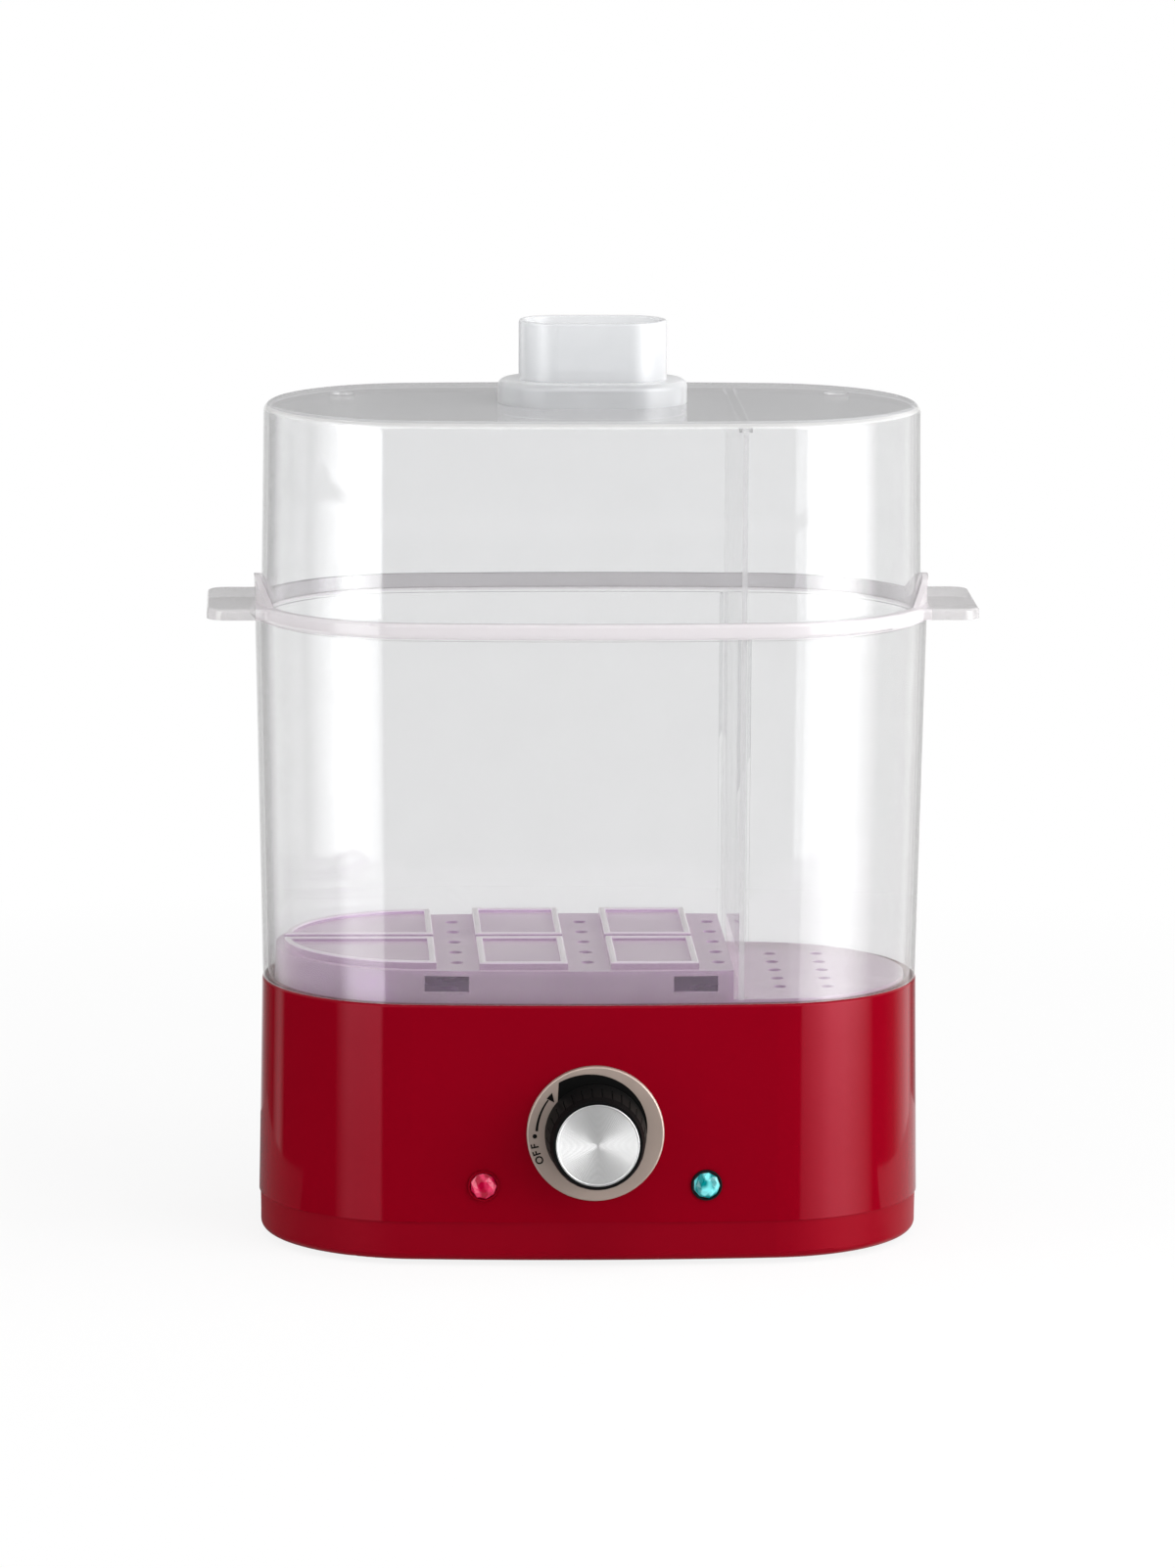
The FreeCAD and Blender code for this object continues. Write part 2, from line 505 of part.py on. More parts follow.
def tube_path(body, name):
    """The heating tube's centre line: a U lying level, open towards +X."""
    spread, reach = num("TubeSpread"), num("TubeReach")
    path = Sketch(body, name, level="TubeLevel")
    item = path.item
    item.addGeometry(Part.LineSegment(Vector(reach, spread, 0), Vector(-reach, spread, 0)))
    path.arc(-reach, 0, spread, math.pi / 2, 3 * math.pi / 2)
    item.addGeometry(Part.LineSegment(Vector(-reach, -spread, 0), Vector(reach, -spread, 0)))
    item.addConstraint(Sketcher.Constraint("Tangent", 0, 2, 1, 1))
    item.addConstraint(Sketcher.Constraint("Tangent", 1, 2, 2, 1))
    path.size("Radius", 1, to="TubeSpread")
    path.pin(1, 3, "-TubeReach", "0")
    path.pin(0, 1, "TubeReach", "TubeSpread")
    path.pin(2, 2, "TubeReach", "-TubeSpread")
    return path


def tube(body, name, radius, removes=False):
    before = volume(body)
    path = tube_path(body, name + "_path")
    section = Sketch(body, name + "_section", plane="YZ_Plane", level="TubeReach")
    section.circle("TubeSpread", "TubeLevel", radius)
    kind = "SubtractivePipe" if removes else "AdditivePipe"
    feature = body.newObject("PartDesign::" + kind, name)
    feature.Profile = section.item
    feature.Spine = path.item
    return settle(body, feature, before, removes)


def heat_plate():
    """Cast plate under the pan, grooved for the heating tube."""
    body = new_body("heat_plate")
    plan = Sketch(body, "plate_plan", level="PanFloor - HeatPlateThickness").oval("HeatPlateInset")
    pad(body, plan, "HeatPlateThickness", "plate")
    tube(body, "groove", "TubeRadius + PressGap", removes=True)
    ends = Sketch(body, "groove_end_plan", plane="YZ_Plane", level="TubeReach - PanWall")
    ends.circle("TubeSpread", "TubeLevel", "TubeRadius + PressGap")
    ends.circle("-TubeSpread", "TubeLevel", "TubeRadius + PressGap")
    pocket(body, ends, "TubeReach", "groove_ends", up=True)
    return body


def heating_element():
    """Sheathed tube with a thin connecting pin at each end."""
    body = new_body("heating_element")
    tube(body, "sheath", "TubeRadius")
    pins = Sketch(body, "pin_plan", plane="YZ_Plane", level="TubeReach")
    pins.circle("TubeSpread", "TubeLevel", "TubeRadius / 2")
    pins.circle("-TubeSpread", "TubeLevel", "TubeRadius / 2")
    pad(body, pins, "PinLength", "pins")
    return body


def thermostat():
    """Disc thermostat under the heat plate: flange, body and two blade terminals."""
    body = new_body("thermostat")
    under = "PanFloor - HeatPlateThickness"
    flange = Sketch(body, "flange_plan", level=under).circle("0", "0", "ThermostatFlange")
    pad(body, flange, "FlangeSheet", "flange", down=True)
    can = Sketch(body, "can_plan", level=under).circle("0", "0", "ThermostatRadius")
    pad(body, can, "ThermostatHeight", "can", down=True)
    round_edges(body, "HeadEdge", at_level(under + " - ThermostatHeight"), "can_edge")
    blades = Sketch(body, "blade_plan", level=under + " - ThermostatHeight")
    for side in ("-SmallBladeAcross", "SmallBladeAcross"):
        blades.rectangle(side + " - BladeThickness / 2", "-SmallBladeWidth / 2",
                         side + " + BladeThickness / 2", "SmallBladeWidth / 2")
    pad(body, blades, "SmallBladeLength", "blades", down=True)
    return body


def thermal_fuse():
    """Axial fuse under the heat plate, strapped between two short feet."""
    body = new_body("thermal_fuse")
    under = "PanFloor - HeatPlateThickness"
    axis = under + " - FuseRadius"
    barrel = Sketch(body, "barrel_plan", plane="YZ_Plane", level="FusePlace - FuseLength / 2")
    barrel.circle("0", axis, "FuseRadius")
    pad(body, barrel, "FuseLength", "barrel")
    leads = Sketch(body, "lead_plan", plane="YZ_Plane", level="FusePlace - LeadLength / 2")
    leads.circle("0", axis, "LeadRadius")
    pad(body, leads, "LeadLength", "leads")
    strap = Sketch(body, "strap_plan", plane="YZ_Plane", level="FusePlace - StrapWidth / 2")
    sheet_line, arch = under + " - StrapSheet", under + " - 2 * FuseRadius - StrapSheet"
    strap.polygon([("-StrapReach", under), ("-StrapReach", sheet_line), ("-StrapArch", sheet_line),
                   ("-StrapArch", arch), ("StrapArch", arch), ("StrapArch", sheet_line),
                   ("StrapReach", sheet_line), ("StrapReach", under)])
    pad(body, strap, "StrapWidth", "strap")
    return body


def pan_clips():
    """Four Z-shaped sheet clips that hold the pan up against its gasket."""
    body = new_body("pan_clips")
    inner, under = "ClipWall + ClipSheet", "PanFloor - ClipSheet"
    for label, place_at in (("right", "ClipAcross"), ("left", "-ClipAcross")):
        for face, sign in (("rear", ""), ("front", "-")):
            outline = Sketch(body, "%s_%s_plan" % (label, face), plane="YZ_Plane",
                             level="%s - ClipWidth / 2" % place_at)
            corners = [("ClipTip", "ClipBoss"), ("ClipWall", "ClipBoss"), ("ClipWall", "PanFloor"),
                       ("ClipFoot", "PanFloor"), ("ClipFoot", under), (inner, under),
                       (inner, "ClipBoss - ClipSheet"), ("ClipTip", "ClipBoss - ClipSheet")]
            outline.polygon([("%s(%s)" % (sign, y), z) for y, z in corners])
            pad(body, outline, "ClipWidth", "%s_%s" % (label, face))
    holes = Sketch(body, "hole_plan", level="ClipBoss - ClipSheet")
    holes.four_circles("ClipAcross", "ClipScrewBack", "PilotRadius + FitGap / 3")
    pocket(body, holes, "ClipSheet", "holes", up=True)
    return body


# ---------------------------------------------------------------- front panel and timer
def on_front(body, across="0", up="DialHeight", seat="DialSeat"):
    """Stand a sub-part, drawn along its own +Z, on the front panel."""
    place(body, across, "-(%s)" % seat, up, facing_front=True)
    return body


def dial_plate():
    """Satin metal disc round the knob, with a bevelled rim."""
    body = on_front(new_body("dial_plate"))
    plan = Sketch(body, "disc_plan").circle("0", "0", "DialRadius").circle("0", "0", "BushRadius + FitGap")
    pad(body, plan, "DialThickness", "disc")

    top = at_level("DialThickness")

    def rim(middle, edge):
        return top(middle, edge) and edge.BoundBox.XLength > num("DialRadius")

    round_edges(body, "DialEdge", rim, "rim")
    return body


def timer_screws():
    body = on_front(new_body("timer_screws"))
    heads = Sketch(body, "head_plan", level="-TimerHeadDepth")
    shanks = Sketch(body, "shank_plan", level="-TimerHeadDepth")
    for side in ("TimerScrewSpan / 2", "-TimerScrewSpan / 2"):
        heads.circle(side, "0", "SmallHeadRadius")
        shanks.circle(side, "0", "ShankRadius")
    pad(body, heads, "SmallHeadHeight", "heads")
    pad(body, shanks, "TimerScrewLength", "shanks", down=True)
    return body


def timer_case():
    """Clockwork timer behind the front wall: square can, threaded bush, shaft bore, three blades."""
    body = on_front(new_body("timer_case"), seat="TimerFront")
    half = "TimerSize / 2"
    can = Sketch(body, "can_plan").rectangle("-" + half, "-" + half, half, half)
    pad(body, can, "TimerFront - TimerBack", "can", down=True)

    round_edges(body, "TimerCorner", lambda middle, edge: edge.BoundBox.ZLength > 1, "can_corners")
    bush = Sketch(body, "bush_plan").circle("0", "0", "BushRadius")
    pad(body, bush, "DialSeat - TimerFront", "bush")
    bore = Sketch(body, "bore_plan", level="DialSeat - TimerFront").circle("0", "0", "ShaftRadius + PressGap")
    pocket(body, bore, "DialSeat - TimerFront + ShaftBack + FitGap", "shaft_bore")
    holes = Sketch(body, "hole_plan")
    for side in ("TimerScrewSpan / 2", "-TimerScrewSpan / 2"):
        holes.circle(side, "0", "ShankRadius + PressGap")
    pocket(body, holes, "TimerScrewLength", "screw_holes")
    blades = Sketch(body, "blade_plan", level="TimerBack - TimerFront")
    for step in (-1, 0, 1):
        blades.rectangle("%d * BladePitch - BladeWidth / 2" % step, "-BladeDrop - BladeThickness / 2",
                         "%d * BladePitch + BladeWidth / 2" % step, "-BladeDrop + BladeThickness / 2")
    pad(body, blades, "BladeLength", "blades", down=True)
    return body


def timer_bell():
    """Bell cup on the back of the timer, on a short post."""
    body = on_front(new_body("timer_bell"), up="DialHeight + BellRise", seat="TimerBack")
    outline = Sketch(body, "cup_outline", plane="XZ_Plane")
    floor, lip = "BellSheet - BellDepth", "-BellRise"
    outline.polygon([("0", "0"), ("BellPost", "0"), ("BellPost", floor), ("BellFloor - BellSheet", floor),
                     ("BellMouth - BellSheet", lip), ("BellMouth", lip), ("BellFloor", "-BellDepth"),
                     ("0", "-BellDepth")])
    revolve(body, outline, "cup")
    return body


def lamp_lens(name, side):
    """Faceted dome on a round stem that passes through the front wall."""
    body = on_front(new_body(name), across=side, up="LampHeight", seat="LampSeat")
    outline = Sketch(body, "lens_outline", plane="XZ_Plane")
    rim, stem_end = "LampRadius - FitGap / 3", "-LampStemLength"
    rise = "LampDome - LampShoulder"
    outline.polygon([("0", stem_end), ("LampStem", stem_end), ("LampStem", "0"), (rim, "0"),
                     (rim, "LampShoulder"), ("LampRadius * 0.78", "LampShoulder + 0.55 * (%s)" % rise),
                     ("LampRadius * 0.42", "LampShoulder + 0.9 * (%s)" % rise), ("0", "LampDome")])
    revolve(body, outline, "lens")
    return body


def lamp_bezels():
    body = on_front(new_body("lamp_bezels"), up="LampHeight", seat="LampSeat")
    rings = Sketch(body, "ring_plan")
    for side in ("LampAcross", "-LampAcross"):
        rings.circle(side, "0", "BezelRadius").circle(side, "0", "LampRadius")
    pad(body, rings, "BezelHeight", "rings")
    round_edges(body, "BezelEdge", at_level("BezelHeight"), "ring_edges")
    return body


def lamp_holders():
    """Sleeves that grip the lens stems behind the wall and hold the neon lamps."""
    body = on_front(new_body("lamp_holders"), up="LampHeight", seat="TimerFront")
    rings = Sketch(body, "sleeve_plan")
    for side in ("LampAcross", "-LampAcross"):
        rings.circle(side, "0", "LampStem + SleeveWall").circle(side, "0", "LampStem + PressGap / 2")
    pad(body, rings, "SleeveLength", "sleeves", down=True)
    return body


def neon_lamps():
    body = on_front(new_body("neon_lamps"), up="LampHeight", seat="LampSeat - LampStemLength")
    plan = Sketch(body, "bulb_plan")
    for side in ("LampAcross", "-LampAcross"):
        plan.circle(side, "0", "LampStem")
    pad(body, plan, "BulbLength", "bulbs", down=True)
    round_edges(body, "BulbTip", at_level("0"), "bulb_tips")
    return body


# ---------------------------------------------------------------- timer knob, which turns
def timer_shaft():
    """Round shaft with a flat at its outer end."""
    body = on_front(new_body("timer_shaft"), seat="TimerFront")
    rod = Sketch(body, "rod_plan", level="-ShaftBack").circle("0", "0", "ShaftRadius")
    pad(body, rod, "ShaftBack + ShaftFront", "rod")
    flat = Sketch(body, "flat_plan", level="ShaftFront")
    flat.rectangle("-ShaftRadius", "ShaftFlat", "ShaftRadius", "ShaftRadius")
    pocket(body, flat, "ShaftFlatLength", "flat")
    return body


KNOB_BACK = "DialThickness + KnobGap"
KNOB_FACE = "DialThickness + KnobProud"
KNOB_SHOULDER = "KnobNose + 0.7"


def timer_knob():
    """Tapered black knob, hollow behind, with a D-bored hub, a fluted flank and a sunk face for its cap."""
    body = on_front(new_body("timer_knob"))
    face = KNOB_FACE + " - CapThickness"
    outline = Sketch(body, "knob_outline", plane="XZ_Plane")
    outline.polygon([("0", "HubFoot"), ("HubRadius", "HubFoot"), ("HubRadius", "HubRoof"),
                     ("KnobNose - KnobWall", "HubRoof"), ("KnobFoot - KnobWall", KNOB_BACK),
                     ("KnobFoot", KNOB_BACK), ("KnobFoot", KNOB_BACK + " + KnobSkirt"),
                     (KNOB_SHOULDER, KNOB_FACE + " - KnobShoulder"), ("KnobNose - FitGap", KNOB_FACE),
                     ("CapRadius + PressGap", KNOB_FACE), ("CapRadius + PressGap", face), ("0", face)])
    revolve(body, outline, "shell")
    bore = Sketch(body, "bore_plan", level="HubFoot")
    radius, flat = num("ShaftRadius + PressGap"), num("ShaftFlat + PressGap")
    rise = math.asin(flat / radius)
    bore.arc(0, 0, radius, math.pi - rise, 2 * math.pi + rise)
    bore.item.addGeometry(Part.LineSegment(Vector(radius * math.cos(rise), flat, 0),
                                           Vector(-radius * math.cos(rise), flat, 0)))
    bore.item.addConstraint(Sketcher.Constraint("Coincident", 0, 2, 1, 1))
    bore.item.addConstraint(Sketcher.Constraint("Coincident", 1, 2, 0, 1))
    bore.size("Radius", 0, to="ShaftRadius + PressGap")
    bore.pin(0, 3, "0", "0")
    bore.size("DistanceY", -1, 1, 1, 1, to="ShaftFlat + PressGap")
    bore.size("DistanceY", -1, 1, 1, 2, to="ShaftFlat + PressGap")
    pocket(body, bore, "ShaftFront - ShaftFlatLength", "shaft_bore", up=True)
    flute = Sketch(body, "flute_plan", level=KNOB_FACE)
    lean = "atan((KnobFoot - (%s)) / (KnobProud - KnobGap - KnobSkirt - KnobShoulder))" % KNOB_SHOULDER
    flute.item.AttachmentOffset = FreeCAD.Placement(Vector(0, 0, 0), FreeCAD.Rotation(Vector(0, 1, 0), -5))
    flute.item.setExpression(".AttachmentOffset.Base.z", full(KNOB_FACE))
    flute.item.setExpression(".AttachmentOffset.Rotation.Angle", full("-" + lean))
    root, mouth = KNOB_SHOULDER + " - FluteDepth", KNOB_SHOULDER + " + FluteDepth"
    flute.polygon([(root, "0"), (mouth, "-FluteHalfWidth"), (mouth, "FluteHalfWidth")])
    cut = pocket(body, flute, "FluteLength", "flute")
    before = volume(body)
    ring = body.newObject("PartDesign::PolarPattern", "flutes")
    ring.Originals = [cut]
    ring.Axis = (body.Origin.OriginFeatures[2], [""])
    ring.Angle = 360
    ring.Occurrences = int(num("FluteCount"))
    settle(body, ring, before, removes=True)
    return body


def knob_cap():
    """Turned metal disc pressed into the knob's face."""
    body = on_front(new_body("knob_cap"))
    outline = Sketch(body, "cap_outline", plane="XZ_Plane")
    face = KNOB_FACE + " - CapThickness"
    outline.polygon([("0", face), ("CapRadius", face), ("CapRadius", face + " + 0.8 * CapThickness"),
                     ("CapRadius - 0.4 * CapThickness", face + " + 1.15 * CapThickness"),
                     ("CapRadius - 1.4 * CapThickness", face + " + CapThickness"),
                     ("0", face + " + 0.7 * CapThickness")])
    revolve(body, outline, "disc")
    return body


# ---------------------------------------------------------------- rear
def cord_grommet():
    """Rubber bush: a blunt square neck that can't turn in the wall, a collar, a lip and the cord's bore."""
    body = new_body("cord_grommet")
    place(body, "CordAcross", "CordSeat", "CordHeight", facing_front=True)
    wall = "CordSeat - CordInner"
    lip_end = wall + " + GrommetLipDepth"
    for name, start, stop, half in (("collar", "-GrommetProud", "0", "GrommetFlange"),
                                    ("neck", "0", wall, "GrommetNeck - PressGap"),
                                    ("lip", wall, lip_end, "GrommetLip")):
        plan = Sketch(body, name + "_plan", level=start).blunt_square("0", "0", half, "GrommetCorner")
        pad(body, plan, "(%s) - (%s)" % (stop, start), name)
    round_edges(body, "GrommetEdge", at_level("-GrommetProud"), "collar_edge")
    bore = Sketch(body, "bore_plan", level="-GrommetProud").circle("0", "0", "CordBore")
    pocket(body, bore, "GrommetProud + " + lip_end, "bore", up=True)
    return body


def terminal_block():
    """Three-way screw terminal block standing on the bottom cover."""
    body = new_body("terminal_block")
    foot = "FootHeight + HousingWall"
    plan = Sketch(body, "block_plan", level=foot)
    plan.rectangle("BlockMiddle - BlockWidth / 2", "BlockBack - BlockDepth / 2",
                   "BlockMiddle + BlockWidth / 2", "BlockBack + BlockDepth / 2")
    pad(body, plan, "BlockHeight", "block")
    ways = Sketch(body, "way_plan", plane="XZ_Plane", level="-BlockBack - BlockDepth / 2")
    tops = Sketch(body, "top_plan", level=foot + " + BlockHeight")
    for step in (-1, 0, 1):
        across = "BlockMiddle + %d * BlockPitch" % step
        ways.circle(across, foot + " + BlockWayRise", "BlockWayRadius")
        tops.circle(across, "BlockBack", "BlockScrewRadius")
    pocket(body, ways, "BlockDepth", "wire_ways", up=True)
    pocket(body, tops, "BlockHeight - BlockWayRise", "screw_wells")
    return body


# ---------------------------------------------------------------- steam tray
def steam_tray():
    """Clear moulded rack: a raised platform with bun pads, a low floor for sausages, skirt and steam ways."""
    body = new_body("steam_tray")
    step = "(DividerPlace - DividerThickness / 2 - 2 * FitGap - GuideWidth)"
    oval_wall(body, "block", "DeckLevel", "TrayFootInset", "TrayFloor", "TrayTopInset")
    low = Sketch(body, "low_plan", level="TrayFloor").rectangle(step, "-70", "130", "70")
    pocket(body, low, "TrayFloor - TrayLowFloor", "low_side")
    inside = "TrayFootInset + TrayWall"
    under = Sketch(body, "hollow_plan", level="DeckLevel").oval(inside)
    pocket(body, under, "TrayLowFloor - TrayWall - DeckLevel", "hollow", up=True)
    upper = Sketch(body, "upper_plan", level="TrayLowFloor - TrayWall - 1")
    upper.oval_left_of("TrayTopInset + TrayWall", step + " - TrayWall")
    pocket(body, upper, "TrayFloor - TrayLowFloor + 1", "upper_hollow", up=True)
    bun_pads(body)
    slots = Sketch(body, "slot_plan", plane="XZ_Plane", level="PlanHalfDepth + Overcut")
    for side in ("TraySlotLeft", "TraySlotRight"):
        slots.rectangle(side + " - TraySlotWidth / 2", "TraySlotFoot",
                        side + " + TraySlotWidth / 2", "TraySlotFoot + TraySlotHeight")
    pocket(body, slots, "2 * (PlanHalfDepth + Overcut)", "skirt_slots")
    steam_holes(body)
    return body


def bun_pads(body):
    """Six raised pads with shallow dishes: two rows of three, the left pair rounded like the tray's end."""
    root = "TrayFloor - PadRoot"
    height = "PadTop - (%s)" % root
    end_edge = "PadMiddle - PadPitch + PadWidth / 2"
    near, far = "PadGap / 2", "PlanHalfDepth - PadInset"
    end = Sketch(body, "end_pad_plan", level=root).oval_left_of("PadInset", end_edge)
    pad(body, end, height, "end_pads")
    end_dish = Sketch(body, "end_dish_plan", level="PadTop")
    end_dish.oval_left_of("PadInset + PadRim", end_edge + " - PadRim")
    pocket(body, end_dish, "PadDish", "end_dish")
    rims = Sketch(body, "aisle_rim_plan", level=root)
    rims.rectangle("PadInset + PadRim / 2 - PlanHalfWidth", "-%s - PadRim" % near,
                   end_edge + " - PadRim / 2", near + " + PadRim")
    pad(body, rims, height, "aisle_rims")
    aisle = Sketch(body, "aisle_plan", level="PadTop")
    aisle.rectangle("-PlanHalfWidth", "-" + near, end_edge + " + PadRim", near)
    pocket(body, aisle, "PadTop - TrayFloor", "aisle")
    blocks = Sketch(body, "pad_plan", level=root)
    dishes = Sketch(body, "dish_plan", level="PadTop")
    for column in ("PadMiddle", "PadMiddle + PadPitch"):
        left, right = column + " - PadWidth / 2", column + " + PadWidth / 2"
        blocks.rectangle(left, near, right, far).rectangle(left, "-(%s)" % far, right, "-" + near)
        left, right = left + " + PadRim", right + " - PadRim"
        dishes.rectangle(left, near + " + PadRim", right, far + " - PadRim")
        dishes.rectangle(left, "PadRim - (%s)" % far, right, "-%s - PadRim" % near)
    pad(body, blocks, height, "pads")
    pocket(body, dishes, "PadDish", "pad_dishes")
    round_edges(body, "PadEdge", at_level("PadTop"), "pad_edges")


def steam_holes(body):
    """Rows of round holes: between and beside the bun pads, and over the sausage side's floor."""
    holes = Sketch(body, "steam_hole_plan", level="TrayFloor + 1")
    middle = "(SteamHoleRows - 1) / 2"
    for gap in (-1, 1, 3):
        for row in range(int(num("SteamHoleRows"))):
            holes.circle("PadMiddle + %d * PadPitch / 2" % gap, "(%d - %s) * BunHolePitch" % (row, middle),
                         "SteamHoleRadius")
    for step in (0, 1):
        for row in range(int(num("SteamHoleRows"))):
            holes.circle("DividerPlace + SausageHoleStart + %d * SausageHoleStep" % step,
                         "(%d - %s) * SausageHolePitch" % (row, middle), "SteamHoleRadius")
    pocket(body, holes, "TrayFloor - TrayLowFloor + TrayWall + 1", "steam_holes")


# ---------------------------------------------------------------- steam container
def ring_arch(body, name, level, peak, half_length):
    """Cut the rim ears to an arched top."""
    outline = Sketch(body, name + "_plan", plane="YZ_Plane", level="-HandleReach")
    low, top, reach = num(level), num(peak), num(half_length)
    rise = top - low
    radius = (reach * reach + rise * rise) / (2 * rise)
    item = outline.item
    start = math.acos(reach / radius)
    outline.arc(0, top - radius, radius, start, math.pi - start)
    over, above = reach + num("EarClip"), top + num("EarHeight")
    corner = [Vector(-reach, low, 0), Vector(-over, low, 0), Vector(-over, above, 0),
              Vector(over, above, 0), Vector(over, low, 0), Vector(reach, low, 0)]
    for a, b in zip(corner, corner[1:]):
        item.addGeometry(Part.LineSegment(a, b))
    for i in range(5):
        item.addConstraint(Sketcher.Constraint("Coincident", i, 2, i + 1, 1))
    item.addConstraint(Sketcher.Constraint("Coincident", 5, 2, 0, 1))
    outline.pin(1, 1, "-(%s)" % half_length, level)
    outline.pin(5, 2, half_length, level)
    outline.pin(2, 1, "-(%s) - EarClip" % half_length, level)
    outline.pin(3, 1, "-(%s) - EarClip" % half_length, "(%s) + EarHeight" % peak)
    outline.pin(4, 1, "(%s) + EarClip" % half_length, "(%s) + EarHeight" % peak)
    outline.pin(5, 1, "(%s) + EarClip" % half_length, level)
    outline.size("Radius", 0, to="((%s)^2 + ((%s) - (%s))^2) / (2 * ((%s) - (%s)))"
                 % (half_length, peak, level, peak, level))
    return pocket(body, outline, "2 * HandleReach", name, up=True)


def round_rim(body, band_foot):
    """Round the handles' corners and roots, then the band's lower edge and the whole upper outline."""
    tip = num("HandleReach - HandleCorner")
    band_end, band_side = num("PlanHalfWidth + BandReach"), num("PlanHalfDepth + BandReach")
    thickness, beside_ear = num("HandleThickness"), num("EarHalfLength")
    shortest_y = beside_ear - num("HandleCorner")
    top, foot = at_level("ContainerTop"), at_level(band_foot)

    def upright(middle, edge):
        return abs(edge.BoundBox.ZLength - thickness) < 0.1 and abs(middle.y) > shortest_y

    def on_handle(middle):
        return abs(middle.x) > band_end + 1

    def on_band(middle):
        return abs(middle.x) > band_end - 0.1 or abs(middle.y) > band_side - 0.1

    round_edges(body, "HandleCorner", lambda m, e: upright(m, e) and abs(m.x) > tip, "handle_corners")
    round_edges(body, "HandleRoot", lambda m, e: upright(m, e) and not on_handle(m), "handle_roots")
    round_edges(body, "BandEdge", lambda m, e: foot(m, e) and on_band(m), "band_edge")
    round_edges(body, "HandleEdge", lambda m, e: top(m, e) and (abs(m.y) > beside_ear + 1 or on_handle(m)),
                "rim_edge")


def steam_container():
    """Clear drafted oval sleeve: rim band with end handles and ears, a ledge for the lid, divider guides."""
    body = new_body("steam_container")
    ear_top = "ContainerTop + EarHeight"
    oval_wall(body, "sleeve", "BaseTop", "ContainerFootInset", ear_top, "-RimFlare - EarFlare")
    ring_arch(body, "ear_arch", "ContainerTop - EarRoot", ear_top, "EarHalfLength")
    band_foot = "ContainerTop - BandHeight"
    pad(body, Sketch(body, "band_plan", level=band_foot).oval("-BandReach"), "BandHeight", "band")
    handles = Sketch(body, "handle_plan", level="ContainerTop - HandleThickness")
    handles.rectangle("-HandleReach", "-HandleHalfLength", "HandleReach", "HandleHalfLength")
    pad(body, handles, "HandleThickness", "handles")

    round_rim(body, band_foot)
    oval_wall(body, "inside", "BaseTop", "ContainerFootInset + ContainerWall",
              "ContainerTop", "ContainerWall - RimFlare", removes=True)
    mouth = Sketch(body, "mouth_plan", level="ContainerTop - 1").oval("ContainerWall - RimFlare")
    pocket(body, mouth, "EarHeight + Overcut", "mouth", up=True)
    ledge = Sketch(body, "ledge_plan", level="LidFoot - LedgeHeight")
    ledge.oval("0").oval("LedgeWidth + ContainerWall - RimFlare")
    pad(body, ledge, "LedgeHeight", "ledge")
    guides = Sketch(body, "guide_plan", level="TrayLowFloor + 1")
    gap = "(DividerThickness / 2 + FitGap)"
    for sign in ("", "-"):
        for inner, outer in (("DividerPlace + " + gap, "DividerPlace + %s + GuideWidth" % gap),
                             ("DividerPlace - %s - GuideWidth" % gap, "DividerPlace - " + gap)):
            guides.rectangle(inner, sign + "(DividerHalfDepth - GuideOverlap)",
                             outer, sign + "(PlanHalfDepth - GuideInset)")
    pad(body, guides, "LidFoot - LedgeHeight - TrayLowFloor - 1", "guides")
    return body


def divider_panel():
    body = new_body("divider_panel")
    outline = Sketch(body, "panel_plan", plane="YZ_Plane", level="DividerPlace - DividerThickness / 2")
    outline.rectangle("-DividerHalfDepth", "TrayLowFloor",
                      "DividerHalfDepth", "LidTop - LidWall - DividerTopGap")
    pad(body, outline, "DividerThickness", "panel")

    half_way = num("ContainerTop") / 2
    round_edges(body, "DividerCorner", lambda m, e: e.BoundBox.XLength > 1 and m.z > half_way, "top_corners")
    return body


# ---------------------------------------------------------------- lid and its knob
def steam_lid():
    """Clear cover that stands inside the container's rim, with two steam vents and divider ribs."""
    body = new_body("steam_lid")
    oval_wall(body, "block", "LidFoot", "LidFootInset", "LidTop", "LidTopInset")
    round_edges(body, "LidEdge", at_level("LidTop"), "top_edge")
    hollow(body, "lid_inside", "LidFoot", "LidFootInset + LidWall",
           "LidTop - LidWall", "LidTopInset + LidWall", "LidEdge - LidWall", "LidTop - LidWall")
    ribs = Sketch(body, "rib_plan", level="LidTop - LidWall - RibHeight")
    gap = "(DividerThickness / 2 + FitGap)"
    for inner, outer in (("DividerPlace + " + gap, "DividerPlace + %s + GuideWidth" % gap),
                         ("DividerPlace - %s - GuideWidth" % gap, "DividerPlace - " + gap)):
        ribs.rectangle(inner, "LidWall - DividerHalfDepth", outer, "DividerHalfDepth - LidWall")
    pad(body, ribs, "RibHeight + PadRoot", "divider_ribs")
    holes = Sketch(body, "hole_plan", level="LidTop + 1")
    for side in ("VentHoleAcross", "-VentHoleAcross"):
        holes.circle(side, "VentHoleBack", "VentHoleRadius")
    for side in ("PegAcross", "-PegAcross"):
        holes.circle(side, "0", "PegRadius + PegGap")
    pocket(body, holes, "LidWall + RibHeight", "holes")
    return body


